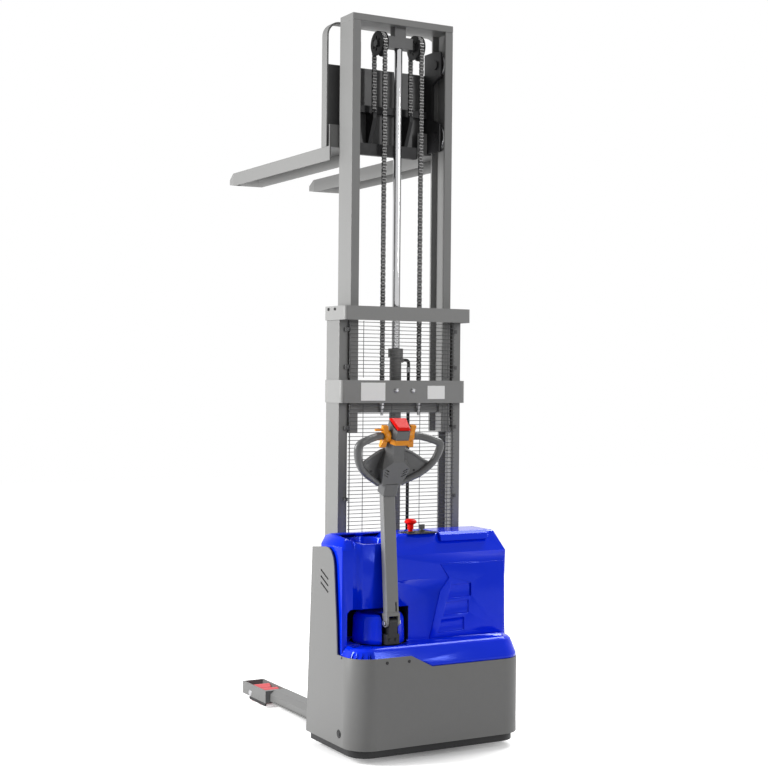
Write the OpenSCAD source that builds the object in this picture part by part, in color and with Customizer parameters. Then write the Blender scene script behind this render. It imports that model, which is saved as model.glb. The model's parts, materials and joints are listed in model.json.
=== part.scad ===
// Pedestrian electric stacker with a two-stage mast, raised, and a tiller set to the left.
// X runs to the operator's right, Y towards the fork tips, Z up. Millimetres.
// The origin is on the floor, under the middle of the bounding box.
// Inside the modules Y is counted from the operator-side face of the outer mast.

/* [Body] */
// width over the skirt
body_w = 800; // [700:10:950]
// skirt front face, towards the operator from the mast face
skirt_front = 365; // [300:5:450]
// vertical corner radius of the skirt
skirt_r = 100; // [60:5:140]
// ground to lower edge of the skirt
skirt_z0 = 60; // [30:5:90]
// top of the skirt's side panels
skirt_top = 838; // [700:1:900]
// top of the hood
hood_top = 884; // [800:1:950]
// operator-side face of the hood, from the mast face
hood_front = 222; // [190:1:260]

/* [Mast] */
// top of the outer mast
mast_top = 1815; // [1600:5:2400]
// width over the outer channels
outer_w = 590; // [500:2:700]
// depth of both channel sections
chan_d = 116; // [90:1:140]
// top of the inner mast as raised
inner_top = 3033; // [2600:1:4200]
// width over the inner channels
inner_w = 486; // [400:2:560]
// sideways distance of each chain from the middle
chain_x = 89; // [70:1:110]
// pitch radius of the chain pulleys
pulley_r = 46.5; // [38:0.5:60]
// height of the pulley axle as raised
pulley_z = 2929; // [2500:1:4000]
// lift cylinder tube diameter
cyl_d = 50; // [40:1:70]
// piston rod diameter
rod_d = 35; // [25:1:45]

/* [Forks and legs] */
// fork length, heel to tip
fork_l = 1150; // [900:10:1220]
// width of one fork
fork_w = 140; // [120:5:190]
// overall width over the forks
fork_span = 570; // [540:5:690]
// underside of the forks as raised
fork_z = 2434; // [2000:1:3400]
// centre height of the leg boxes' load rollers
load_r = 37; // [32:1:42]

/* [Tiller] */
// steering axis, left of the middle
steer_x = 198; // [100:5:260]
// steering axis, towards the operator from the mast face
steer_y = 180; // [120:5:240]
// height of the tiller's pivot pin
pivot_z = 545; // [500:5:600]
// width over the two handle loops
grip_w = 392; // [320:2:440]

/* [Hidden] */
$fn = 48;
e = 0.01;
tip_y = fork_l + 122;
ow = outer_w / 2;
iw = inner_w / 2;
flange_o = 42;
flange_i = 38;
chan_t = 10;
cyl_y = 48;
pul_y = 50;
front_y = pul_y - pulley_r;
rear_y = pul_y + pulley_r;
sx = -steer_x;
sy = -steer_y;
piv_y = sy - 108;
lean = 5;
kink = 20;
head_at = 490;
cap_z = 308.1;
cap_y = -28;
cap_rise = 0.37;
// the part's middle lies between the fork tips and the front edge of the head's top button
head_reach = cap_z * sin(kink) - cap_y * cos(kink) - piv_y - head_at * sin(lean);
mid_y = (tip_y - head_reach) / 2;
// centre of the thumb wheels in the head's frame
wheel_y = 14;
wheel_z = 270;
led_z = 455;
grey = [0.50, 0.50, 0.49];
dark = [0.24, 0.25, 0.26];
blue = [0.06, 0.16, 0.78];
black = [0.06, 0.06, 0.06];
steel = [0.72, 0.73, 0.74];
red = [0.85, 0.10, 0.08];
orange = [0.95, 0.55, 0.08];
pink = [0.86, 0.33, 0.35];

// shared helpers

module box(x0, x1, y0, y1, z0, z1)
  translate([x0, y0, z0]) cube([x1 - x0, y1 - y0, z1 - z0]);

module cyl_x(r, x0, x1, y, z, fn = 48)
  translate([x0, y, z]) rotate([0, 90, 0]) cylinder(r = r, h = x1 - x0, $fn = fn);

module cyl_z(r, z0, z1, x, y, fn = 48)
  translate([x, y, z0]) cylinder(r = r, h = z1 - z0, $fn = fn);

module cyl_y(r, y0, y1, x, z, fn = 48)
  translate([x, y0, z]) rotate([-90, 0, 0]) cylinder(r = r, h = y1 - y0, $fn = fn);

// plan outline in mast coordinates, corners of radius r towards the operator
module plan(hw, yf, yb, r, fn = 64) {
  translate([-hw, -yf + r]) square([2 * hw, yf - r + yb]);
  translate([-hw + r, -yf]) square([2 * hw - 2 * r, r + e]);
  for (s = [-1, 1]) translate([s * (hw - r), -yf + r]) circle(r = r, $fn = fn);
}

module both() { children(); mirror([1, 0, 0]) children(); }

// everything is drawn round the mast face and set round the middle of the part here
module set() translate([0, -mid_y, 0]) children();

// channel opening towards the middle, outer face at hw
module channel(hw, flange, z0, z1) {
  difference() {
    box(hw - flange, hw, 0, chan_d, z0, z1);
    box(hw - flange - 1, hw - chan_t, chan_t, chan_d - chan_t, z0 - 1, z1 + 1);
  }
}

// chassis and legs

module chassis_frame() color(black) set() {
  difference() {
    union() {
      translate([0, 0, 27]) linear_extrude(36) difference() {
        plan(body_w / 2 - 20, skirt_front - 20, 60, skirt_r - 20);
      }
      box(-ow - 11, ow + 11, 59, chan_d, 27, 63);
    }
    cyl_z(127, 20, 70, sx, sy);
    cyl_z(108, 20, 70, 250, -200);
    box(-ow + 5, ow - 5, -8, chan_d + 1, 45, 70);
    box(-38, 118, -250, -60, 45, 70);
  }
  // mast feet, either side of the outer channels
  for (s = [-1, 1]) {
    box(s * (ow + 5.5) - 5.5, s * (ow + 5.5) + 5.5, -14, chan_d, 60, 360);
    box(s * (ow - 20) - 21, s * (ow - 20) + 21, -14, -0.01, 60, 360);
  }
  // bridge over the drive wheel
  difference() {
    box(sx - 134, sx + 134, sy - 142, sy + 142, 266, 278);
    cyl_z(78, 260, 290, sx, sy);
  }
  for (a = [-1, 1], b = [-1, 1])
    box(sx + a * 124 - 10, sx + a * 124 + 10, sy + b * 132 - 10, sy + b * 132 + 10, 55, 267);
  // bridge over the castor and the battery tray on it
  difference() {
    box(136, 356, -316, -84, 188, 200);
    cyl_z(20.05, 180, 210, 250, -200);
  }
  for (a = [-1, 1], b = [-1, 1])
    box(246 + a * 100 - 10, 246 + a * 100 + 10, -200 + b * 106 - 10, -200 + b * 106 + 10, 55, 189);
  box(-40, 356, -212, -44, 318, 326);
  for (x = [-34, 340], y = [-206, -60]) box(x - 6, x + 16, y - 6, y + 16, x > 0 ? 199 : 55, 319);
  // foot under the lift cylinder
  box(-50, 50, 8, 88, 44, 84);
}

module leg(s) scale([s, 1, 1]) {
  // beam with a bevelled outer edge, then the roller box
  translate([0, chan_d + 0, 0]) rotate([90, 0, 0]) mirror([0, 0, 1])
    linear_extrude(742 - chan_d) polygon([[170, 30], [252, 30], [252, 62], [228, 80], [170, 80]]);
  difference() {
    box(168, 276, 740, 1000, 22, 78);
    box(176, 268, 762, 992, 10, 90);
    for (y = [820, 912]) cyl_x(10.03, 160, 290, y, load_r);
  }
  // closing plate of the beam towards the box
  box(168, 276, 740, 762, 22, 78);
  // lower flange of the beam
  box(168, 258, chan_d, 700, 28, 34);
}
module leg_left() color(grey) set() mirror([1, 0, 0]) leg(1);
module leg_right() color(grey) set() leg(1);

module leg_axles() color(steel) set() both() for (y = [820, 912]) {
  cyl_x(10, 167, 277, y, load_r);
  cyl_x(15, 276, 279, y, load_r, 6);
}

module load_roller_lf() color(pink) set() mirror([1, 0, 0]) load_roller_raw(912);
module load_roller_lr() color(pink) set() mirror([1, 0, 0]) load_roller_raw(820);
module load_roller_rf() color(pink) set() load_roller_raw(912);
module load_roller_rr() color(pink) set() load_roller_raw(820);
module load_roller_raw(y) difference() {
  union() {
    cyl_x(load_r - 0.2, 181, 263, y, load_r);
    cyl_x(18, 177.5, 266.5, y, load_r);
  }
  cyl_x(10.05, 170, 280, y, load_r);
}

// mast

module outer_mast_left() color(grey) set() mirror([1, 0, 0]) channel(ow, flange_o, 63, mast_top);
module outer_mast_right() color(grey) set() channel(ow, flange_o, 63, mast_top);

// flat bar bent round the front and both sides of the outer channels
module wrap_bar(hw, yf, yb, t, r, z0, z1) translate([0, 0, z0]) linear_extrude(z1 - z0) difference() {
  plan(hw, yf, yb, r, 32);
  plan(ow, yf - t, yb + 10, max(r - t, 2), 32);
}
module upper_tie() color(grey) set() {
  wrap_bar(304, 67, 111, 8, 14, mast_top - 57, mast_top + 1);
  // spacers from the front bar back to the channel flanges
  for (s = [-1, 1]) box(s * 274 - 20, s * 274 + 20, -59.5, 0, mast_top - 54, mast_top - 46);
  for (s = [-1, 1]) box(s * 274 - 20, s * 274 + 20, -59.5, 0, mast_top - 10, mast_top - 2);
}
module lower_tie() color(grey) set() {
  wrap_bar(301, 32, 112, 8, 16, 1415, 1510);
  for (s = [-1, 1]) box(s * 274 - 20, s * 274 + 20, -24.5, 0, 1418, 1426);
  for (s = [-1, 1]) box(s * 274 - 20, s * 274 + 20, -24.5, 0, 1498, 1506);
  // shelf that takes the chain anchors
  difference() {
    box(-112, 112, -24.5, 15, 1417, 1429);
    for (s = [-1, 1]) cyl_z(6.05, 1400, 1440, s * chain_x, front_y);
  }
}

module lift_cylinder() color(dark) set() {
  difference() {
    union() {
      cyl_z(cyl_d / 2, 84, 1622, 0, cyl_y);
      cyl_z(32, 1606, 1645, 0, cyl_y);
      cyl_z(30, 84, 104, 0, cyl_y);
      cyl_x(9, 20, 38, cyl_y, 1596);
      cyl_x(11, 30, 36, cyl_y, 1596, 6);
    }
    cyl_z(rod_d / 2 + 0.06, 1300, 1650, 0, cyl_y);
    cyl_z(cyl_d / 2 - 5, 100, 1590, 0, cyl_y);
  }
}

// pressure hose from the port near the top of the cylinder down to the pump
module hydraulic_hose() color(black) set() {
  r = 7;
  cyl_x(r, 38, 64, cyl_y, 1596, 24);
  for (z = [1596, 140]) translate([64, cyl_y, z]) sphere(r, $fn = 24);
  cyl_z(r, 140, 1596, 64, cyl_y, 24);
  cyl_y(r, -69, cyl_y, 64, 140, 24);
}

module chain_anchors() color(steel) set() for (s = [-1, 1]) {
  cyl_z(6, 1362, 1429, s * chain_x, front_y, 24);
  cyl_z(10, 1406, 1416.9, s * chain_x, front_y, 6);
  cyl_z(10, 1394, 1404, s * chain_x, front_y, 6);
  box(s * chain_x - 9, s * chain_x + 9, front_y - 7, front_y + 7, 1429.1, 1452);
}

// open net of welded wires in two panels, behind the ties
guard_w = 250;
module net(z0, z1, pitch) {
  for (z = [z0 : pitch : z1]) translate([-guard_w - 8, z - 1.5]) square([2 * guard_w + 16, 3]);
  for (x = [-guard_w, -187, -50, 87, 224, guard_w])
    translate([x - (abs(x) == guard_w ? 2.5 : 1.5), z0 - 6]) square([abs(x) == guard_w ? 5 : 3, z1 - z0 + 12]);
}
module wire_guard() color(steel) set() translate([0, -12, 0]) rotate([90, 0, 0]) linear_extrude(3.5) {
  net(1527, 1751, 16);
  net(876, 1404, 16);
}
module guard_clips() color(steel) set()
  for (s = [-1, 1], z = [1720, 1565, 1312, 1016]) {
    box(s * 262 - 8, s * 262 + 8, -12, 0, z - 8, z + 8);
    cyl_y(3.9, -15.5, -12, s * 262, z, 16);
  }

module label_plates() color([0.93, 0.93, 0.93]) set() {
  box(-208, -93, -33.4, -32, 1425, 1500);
  box(112, 197, -33.4, -32, 1432, 1488);
}
module dome(x, y, z, r) translate([x, y, z]) rotate([90, 0, 0]) {
  cylinder(r = r, h = 5, $fn = 6);
  cylinder(r = r * 0.8, h = 8, $fn = 24);
  intersection() {
    translate([0, 0, 4]) sphere(r * 0.8 + 1, $fn = 24);
    translate([-20, -20, 4]) cube(40);
  }
}
module tie_fasteners() color(steel) set() {
  for (s = [-1, 1]) dome(s * 40, -32, 1468, 10);
  for (y = [20, 78]) for (s = [-1, 1])
    cyl_x(6, s > 0 ? 304 : -309, s > 0 ? 309 : -304, y, mast_top - 12, 6);
}

// skirt: side panels rise behind the hood, the front is low
module side_cut() rotate([90, 0, 90]) translate([0, 0, -600]) linear_extrude(1200)
  polygon([[-600, 340], [-240, 340], [-208, 426], [-199, 556], [-176, 770], [-168, 800], [-150, 824],
    [-126, 836], [-104, skirt_top + 1], [18, skirt_top - 12], [60, skirt_top - 12], [60, 1400], [-600, 1400]]);
module front_keep() translate([0, 100, 0]) rotate([90, 0, 0]) linear_extrude(700)
  polygon([[-600, -10], [600, -10], [600, 370], [-50, 370], [-146, 420], [-600, 420]]);
module skirt_solid(i, z0, z1) translate([0, 0, z0]) linear_extrude(z1 - z0)
  plan(body_w / 2 - i, skirt_front - i, 64, skirt_r - i, 96);
module slots() for (k = [0, 1, 2]) translate([-body_w / 2 - 10, -92, 726 - k * 26]) rotate([0, 90, 0])
  linear_extrude(body_w + 20) hull() { translate([-14, 30]) circle(4, $fn = 16); translate([16, -32]) circle(4, $fn = 16); }
module skirt() color(grey) set() difference() {
  skirt_solid(0, skirt_z0, skirt_top + 2);
  translate([0, 0, -1]) skirt_solid(5, skirt_z0, skirt_top + 10);
  box(-390, 390, 20, 90, 0, 1000);
  difference() { side_cut(); front_keep(); }
  // rear edge leans forward going up
  rotate([90, 0, 90]) translate([0, 0, -600]) linear_extrude(1200)
    polygon([[65, skirt_z0 - 5], [18, 830], [18, 900], [120, 900], [120, skirt_z0 - 5]]);
  slots();
}

// hood: low lip over the skirt, upper block, cup column and steering recess
module lip(i, zt) hull() {
  translate([0, 0, 340]) linear_extrude(44) plan(body_w / 2 - 2 - i, skirt_front - 2 - i, -216, skirt_r - 2 - i, 48);
  translate([0, 0, zt - 12]) linear_extrude(1) plan(body_w / 2 - 26 - i, skirt_front - 26 - i, -216, skirt_r - 24 - i, 48);
  translate([0, 0, zt - 1]) linear_extrude(1) plan(body_w / 2 - 38 - i, skirt_front - 38 - i, -216, skirt_r - 34 - i, 48);
}
face_y = hood_front + 6;
// the block above the ledge: face, sloping top edge, chamfered shoulders, set back on its left
module upper_block(i) difference() {
  intersection() {
    rotate([90, 0, 90]) translate([0, 0, -600]) linear_extrude(1200)
      polygon([[-face_y + i, 345], [-face_y + i, 700], [-face_y - 6 + i, 803], [-face_y + 26 + i, hood_top - 6 - i],
        [-face_y + 34 + i, hood_top - i], [-34 - i, hood_top - i], [-34 - i, 345]]);
    rotate([90, 0, 0]) linear_extrude(420)
      polygon([[-387 + i, 300], [387 - i, 300], [380 - i, 803], [340 - i / 2, hood_top - i],
        [-344 + i / 2, hood_top - i], [-368 + i, hood_top - 7 - i / 2], [-387 + i, 845 - i / 2]]);
  }
  box(-420, -240, -300, -222 + i, 340, 900);
}
cup_x = -236;
cup_y = -152;
cup_r = 70;
// rounded housing of the cup, standing out of the set-back face on a fillet
module cup_house(i) {
  difference() {
    translate([0, 0, 596 + i]) linear_extrude(270 - i) {
      translate([-330 + i, -205]) square([180 - 2 * i, 120]);
      translate([-300, -235 + i]) square([120, 120]);
      for (x = [-300, -180]) translate([x, -205]) circle(30 - i, $fn = 48);
      difference() {
        polygon([[-335.1, -222 + i], [-319.5 + i, -227.8 + i], [-300, -205], [-335.1, -205]]);
        translate([-335.1, -246]) circle(24 + i, $fn = 48);
      }
    }
    cup_fall(-i);
  }
}
// the top falls away round the cup, lower towards the operator
module cup_fall(d) translate([0, cup_y, 862 + d]) rotate([5.2, 0, 0]) rotate([90, 0, 0]) translate([0, 0, -75])
  linear_extrude(300) polygon([[-372, 24], [-306, 0], [-158, 0], [-118, 24], [-118, 90], [-372, 90]]);
module recess(i) difference() {
  union() {
    cyl_z(114 + i, 420, 596 + i, sx, sy, 64);
    box(-362 - i, sx, -230, -62 + i, 458 - i, 596 + i);
    box(-362 - i, sx + 112 + i, -420, sy, 458 - i, 596 + i);
  }
  difference() {
    box(-363 - i, -338, -430, -60 + i, 572, 600 + i);
    cyl_y(24 + i, -440, -50 + i, -338, 572, 48);
  }
}
// raised panel on the right of the face, with three fading louvres
module relief() difference() {
  rotate([90, 0, 0]) translate([0, 0, face_y - 4]) linear_extrude(12)
    polygon([[62, 757], [104, 700], [60, 645], [12, 456], [372, 456], [372, 757]]);
  for (k = [0, 1, 2]) louvre(112 - k * 22, 668 - k * 70, 52);
}
module louvre(x, z, h) translate([0, -face_y - 8.5, 0]) rotate([0, 0, 2.6]) rotate([90, 0, 0])
  translate([0, 0, -9]) linear_extrude(18) polygon([[x, z], [x - 14, z - h], [x + 110, z - h + 4], [x + 110, z + 4]]);
// lower edge of the hood follows the skirt's top edge
module skirt_room() difference() {
  translate([0, 100, 0]) rotate([90, 0, 0]) linear_extrude(700)
    polygon([[-600, -10], [600, -10], [600, 372], [-50, 372], [-146, 422], [-600, 422]]);
  translate([0, 0, -50]) linear_extrude(500) plan(body_w / 2 - 7, skirt_front - 7, 200, skirt_r - 7, 64);
}
lid_x0 = 68;
lid_x1 = 298;
lid_y0 = -214;
lid_y1 = -62;
module hood() color(blue) set() difference() {
  union() {
    difference() {
      union() { lip(0, led_z); upper_block(0); cup_house(0); }
      difference() {
        union() { translate([0, 0, -e]) lip(6, led_z - 6); upper_block(6); }
        translate([0, 0, -6]) cup_fall(0);
        cyl_z(cup_r + 6, 634, 900, cup_x, cup_y, 64);
        recess(5);
      }
    }
    relief();
  }
  skirt_room();
  recess(0);
  // cup pocket
  cyl_z(cup_r, 640, 900, cup_x, cup_y, 64);
  cup_fall(0);
  box(-420, 420, -600, 0, 300, 362);
  // opening under the lid
  box(lid_x0 - 1.5, lid_x1 + 1.5, -260, lid_y1 + 6, hood_top - 32.3, hood_top + 5);
  // room for the mast side
  box(-250, 250, -36, -20, 300, 840);
  // clear of the skirt's side panels
  for (s = [-1, 1]) box(s > 0 ? body_w / 2 - 7 : -body_w / 2 - 2, s > 0 ? body_w / 2 + 2 : -body_w / 2 + 7,
    -244, -200, 300, 440);
  // holes for the stop button's stem and the key switch
  cyl_z(9.5, hood_top - 12, hood_top + 5, -43, -166, 32);
  cyl_z(6.5, hood_top - 12, hood_top + 5, 16, -158, 32);
}
module dash_panel() color(black) set() difference() {
  union() {
    box(-78, 60, -214, -120, hood_top, hood_top + 2);
    cyl_z(19, hood_top, hood_top + 7, -43, -166, 32);
    cyl_z(13, hood_top, hood_top + 9, 16, -158, 32);
    box(-4, 56, -212, -178, hood_top + 1, hood_top + 5);
  }
  cyl_z(9.05, hood_top - 8, hood_top + 12, -43, -166, 32);
  cyl_z(6.05, hood_top - 8, hood_top + 12, 16, -158, 32);
}

module battery_lid() color(blue) set() {
  difference() {
    intersection() {
      box(lid_x0, lid_x1, -240, lid_y1 - 4, hood_top - 32, hood_top + 4);
      rotate([90, 0, 90]) linear_extrude(400)
        polygon([[-face_y - 1, hood_top - 32], [-face_y + 10, hood_top - 8], [-face_y + 22, hood_top + 3],
          [-20, hood_top + 3], [-20, hood_top - 32]]);
    }
    box(lid_x0 + 5, lid_x1 - 5, -face_y + 22, lid_y1 + 5, hood_top - 40, hood_top - 5);
  }
  // hinge barrel along the rear edge
  cyl_x(5, lid_x0 + 20, lid_x1 - 20, lid_y1 - 5, hood_top - 6, 24);
}

module battery() color(dark) set() {
  box(-34, 348, -204, -50, 326, 790);
  for (x = [20, 300]) cyl_z(12, 789, 806, x, -110, 24);
}
module hydraulic_unit() color(dark) set() {
  box(-14, 108, -240, -70, 45, 190);
  cyl_z(48, 189, 300, 40, -150, 48);
}

module estop_button() color(red) set() {
  cyl_z(8.95, hood_top - 6, hood_top + 22, -43, -166, 32);
  translate([-43, -166, 0]) rotate_extrude($fn = 48)
    polygon([[0, hood_top + 12], [12, hood_top + 12], [13, hood_top + 36], [24, hood_top + 42], [26, hood_top + 47],
      [22, hood_top + 54], [12, hood_top + 58], [0, hood_top + 59]]);
}
module ignition_key() color(steel) set() {
  cyl_z(5.95, hood_top - 4, hood_top + 14, 16, -158, 24);
  box(3, 29, -160, -156, hood_top + 13, hood_top + 32);
}

// drive unit under the steering bearing
axle_z = 115;
module drive_unit() color(dark) set() {
  cyl_z(104, 246, 265.8, sx, sy, 64);
  cyl_z(70, 265, 440, sx, sy, 64);
  difference() {
    hull() {
      box(sx + 42, sx + 82, sy - 44, sy + 44, 180, 247);
      cyl_x(58, sx + 42, sx + 82, sy, axle_z, 48);
    }
  }
  cyl_x(17, sx - 34, sx + 43, sy, axle_z, 48);
}
module drive_hub() color(grey) set() difference() {
  union() {
    cyl_x(72, sx - 24, sx + 28, sy, axle_z, 64);
    cyl_x(34, sx - 33, sx + 41.5, sy, axle_z, 48);
  }
  cyl_x(17.05, sx - 60, sx + 60, sy, axle_z, 48);
  for (a = [0 : 60 : 300]) translate([sx, sy + 52 * cos(a), axle_z + 52 * sin(a)]) rotate([0, 90, 0])
    translate([0, 0, -30]) cylinder(r = 7, h = 22, $fn = 20);
}
module drive_tyre() color(dark) set() difference() {
  union() {
    cyl_x(115, sx - 30, sx + 30, sy, axle_z, 96);
    cyl_x(111, sx - 35, sx + 35, sy, axle_z, 96);
  }
  cyl_x(72, sx - 60, sx + 60, sy, axle_z, 64);
}
module tiller_base() color(black) set() {
  cyl_z(80, 440, 461, sx, sy, 48);
  box(sx - 30, sx + 30, piv_y - 14, sy + 30, 460, 500);
  // lug between the arm's ears
  difference() {
    hull() {
      cyl_x(19, sx - 19, sx + 19, piv_y, pivot_z, 48);
      box(sx - 19, sx + 19, piv_y - 14, piv_y + 40, 490, 502);
    }
    cyl_x(8.05, sx - 40, sx + 40, piv_y, pivot_z, 32);
  }
  for (a = [-1, 1]) cyl_y(6, piv_y - 20, piv_y - 14, sx + a * 14, 478, 6);
}
module base_cover() color(blue) set() difference() {
  translate([sx, sy, 0]) rotate_extrude($fn = 72)
    polygon([[0, 456], [104, 456], [106, 470], [103, 552], [97, 566], [86, 573], [0, 573]]);
  translate([sx, sy, 0]) rotate_extrude($fn = 72)
    polygon([[0, 450], [100, 450], [102, 470], [99, 550], [92, 562], [84, 569], [0, 569]]);
  box(sx - 37, sx + 37, -420, sy - 22, 449, 600);
}
module pivot_pin() color(steel) set() {
  cyl_x(8, sx - 34, sx + 34, piv_y, pivot_z, 32);
  for (s = [-1, 1]) cyl_x(11, sx + (s > 0 ? 34 : -37), sx + (s > 0 ? 37 : -34), piv_y, pivot_z, 6);
}

// everything on the arm is drawn in the arm's own frame: pin at the origin, up along the arm
module on_arm() translate([sx, piv_y, pivot_z]) rotate([-lean, 0, 0]) children();
// head frame: sleeve centre at the origin, up along the head
module in_head() translate([0, 0, head_at]) rotate([lean + kink, 0, 0]) children();
module on_head() on_arm() in_head() children();
module tube(w, d, r, t, h) linear_extrude(h) difference() {
  offset(r, $fn = 32) offset(-r) square([w, d], center = true);
  offset(max(r - t, 0.5), $fn = 32) offset(-max(r - t, 0.5)) square([w - 2 * t, d - 2 * t], center = true);
}
module tiller_arm() color(grey) set() on_arm() difference() {
  union() {
    translate([0, 0, 34]) tube(56, 36, 7, 4, head_at + 30);
    // collar and clevis ears round the pin
    translate([0, 0, 26]) linear_extrude(12) offset(5, $fn = 24) offset(-5) square([62, 42], center = true);
    for (s = [-1, 1]) difference() {
      hull() {
        cyl_x(17, s * 25 - 4.5, s * 25 + 4.5, 0, 0, 32);
        box(s * 25 - 4.5, s * 25 + 4.5, -20, 20, 26, 32);
      }
      cyl_x(8.06, -50, 50, 0, 0, 32);
    }
  }
  box(-20, 20, -15, 15, 20, 60);
  // slot in the operator-side wall
  hull() for (z = [46, 78]) cyl_y(3, -30, -10, 14, z, 16);
  // top end trimmed to fit inside the sleeve
  in_head() {
    box(-60, 60, -80, 90, 48, 160);
    box(-60, 60, 34, 120, 0, 60);
  }
}

// six-sided slice of the head: flat front of half width w1, chamfered back to half width w2
module slice(z, w1, y1, w2, y2, y3, h = 1) translate([0, 0, z]) linear_extrude(h)
  polygon([[-w1, y1], [w1, y1], [w2, y2], [w2, y3], [-w2, y3], [-w2, y2]]);
module low_slice() slice(64, 39, -14, 43, -4, 36);
module wide_slice() slice(139, 62, -27, 66, -14, 28);
module top_slice() slice(174.5, 23, -33, 52, -4, 26);
module neck_slice() slice(204.5, 24, -21, 44, 6, 26);
module head_shell() color(grey) set() on_head() difference() {
  union() {
    // sleeve
    translate([0, 11, 22]) linear_extrude(50) offset(8, $fn = 24) offset(-8) square([64, 58], center = true);
    // body with its flat hexagon, then the neck
    hull() { low_slice(); wide_slice(); }
    hull() { wide_slice(); top_slice(); }
    hull() { top_slice(); neck_slice(); }
    hull() { neck_slice(); slice(244.5, 28, -20, 44, 7, 28); }
    // control housing
    slice(244.6, 29, cap_y, 38, -8, 38, 100);
  }
  // housing top slopes up towards the mast
  translate([0, cap_y, cap_z - 3.1]) rotate([atan(cap_rise), 0, 0]) translate([-60, -60, 0]) cube([120, 180, 60]);
  // room for the arm inside the sleeve
  intersection() {
    rotate([-lean - kink, 0, 0]) translate([0, 0, -60]) linear_extrude(160)
      square([56.1, 36.1], center = true);
    box(-60, 60, -60, 34.1, 0, 48.1);
  }
  // slits
  for (s = [-1, 1], k = [0, 1, 2]) translate([s * 42, -60, 112 + k * 12]) rotate([0, -s * 32, 0])
    translate([-12, 0, 0]) cube([24, 42, 4]);
  // room for the thumb wheels' joining bar and the top button's stem
  box(-60, 60, wheel_y + 7.4, wheel_y + 17.2, wheel_z - 11, wheel_z + 11);
  box(-22.5, 22.5, -16.5, 20.5, 288.5, 360);
  box(-12, 12, 18, 40, 160, 185.9);
}

// round bar swept along a list of points
function unit(v) = v / norm(v);
module sweep_bar(pts, r) {
  n = len(pts);
  m = 12;
  ring = [for (k = [0 : n - 1], a = [0 : m - 1]) let (d = unit(pts[min(k + 1, n - 1)] - pts[max(k - 1, 0)]),
    u = unit(cross(d, [0, 1, 0])), v = cross(u, d), t = a * 360 / m) pts[k] + r * cos(t) * u + r * sin(t) * v];
  side = [for (k = [0 : n - 2], a = [0 : m - 1], h = [0, 1]) let (b = (a + 1) % m)
    h == 0 ? [k * m + a, k * m + b, (k + 1) * m + b] : [k * m + a, (k + 1) * m + b, (k + 1) * m + a]];
  caps = [[for (a = [m - 1 : -1 : 0]) a], [for (a = [0 : m - 1]) (n - 1) * m + a]];
  polyhedron(ring, concat(side, caps), convexity = 6);
}
// centre line of the right loop from the thumb wheel round to the body
gx = grip_w / 2 - 14;
loop_line = [[68, 14, 270], [94, 9, 269], [122, -1, 265.5], [150, -11, 258], [gx - 12, -16, 248], [gx - 2, -18, 235],
  [gx, -18.5, 218], [gx - 1, -18, 200], [gx - 5, -17, 180], [gx - 12, -16, 162], [gx - 20, -15, 148], [152, -14, 137],
  [134, -11.5, 121.5], [114, -7, 107.5], [92, 0, 94], [70, 5, 81.5], [36, 11, 63]];
low_line = [[36, 11, 66], [60, 7, 79], [80, 3, 89], [100, -3, 101], [120, -8.5, 113], [140, -12.5, 128], [155, -14.2, 142],
  [166, -15.5, 153]];
rim_line = [[36, 24, 211], [60, 21, 204], [80, 15.5, 196], [100, 10, 186], [118, 5, 176], [134, 0, 168], [149, -7, 163],
  [166, -15, 161]];
// thin curved plate between the two lines
module wing() {
  n = len(low_line);
  t = [0, 3.5, 0];
  pts = concat([for (p = low_line) p - t], [for (p = rim_line) p - t], [for (p = rim_line) p + t],
    [for (p = low_line) p + t]);
  side = [for (k = [0 : n - 2], j = [0 : 3], h = [0, 1]) let (a = j * n + k, b = ((j + 1) % 4) * n + k)
    h == 0 ? [a, b, b + 1] : [a, b + 1, a + 1]];
  ends = [[0, 3 * n, 2 * n, n], [n - 1, 2 * n - 1, 3 * n - 1, 4 * n - 1]];
  polyhedron(pts, concat(side, ends), convexity = 6);
}
// the head's outline seen from the operator, taken out of the handle's roots
head_half = [[32.1, -20], [32.1, 63.9], [43.2, 64], [66.2, 139], [66.2, 140.2], [52.2, 175.8], [44.2, 205.8],
  [44.2, 246], [38.1, 246], [38.1, 300]];
module handle_frame() color(grey) set() on_head() difference() {
  for (s = [-1, 1]) scale([s, 1, 1]) {
    sweep_bar(loop_line, 14.5);
    sweep_bar(rim_line, 6);
    wing();
    // pin through the thumb wheel
    cyl_x(8, 30, 74, wheel_y, wheel_z, 32);
  }
  rotate([90, 0, 0]) translate([0, 0, -60]) linear_extrude(160)
    polygon(concat(head_half, [for (k = [len(head_half) - 1 : -1 : 0]) [-head_half[k][0], head_half[k][1]]]));
  for (s = [-1, 1]) cyl_y(4, -40, 40, s * 98, 125, 16);
}
module head_band() color(orange) set() on_head() difference() {
  slice(245.6, 30, -31, 41, -10, 4, 21);
  slice(240, 29.1, cap_y - 0.1, 38.1, -8, 38, 40);
}
module butterflies() color(orange) set() on_head() {
  box(-44, 44, wheel_y + 10, wheel_y + 16, wheel_z - 3, wheel_z + 3);
  for (s = [-1, 1]) scale([s, 1, 1]) difference() {
    union() {
      cyl_x(24, 42, 64, wheel_y, wheel_z, 48);
      hull() {
        cyl_x(18, 50, 63.5, wheel_y, wheel_z + 2, 32);
        box(52, 76, 10, 24, wheel_z + 34, wheel_z + 43);
      }
      hull() {
        cyl_x(18, 50, 63.5, wheel_y, wheel_z - 2, 32);
        box(50, 75, 4, 17, wheel_z - 45, wheel_z - 38);
      }
      if (s < 0) box(60, 104, 14, 24, wheel_z + 21, wheel_z + 27);
    }
    cyl_x(8.06, 30, 90, wheel_y, wheel_z, 32);
    // clear of the grip's root
    cyl_x(16, 65, 120, wheel_y, wheel_z, 32);
  }
}
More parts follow.
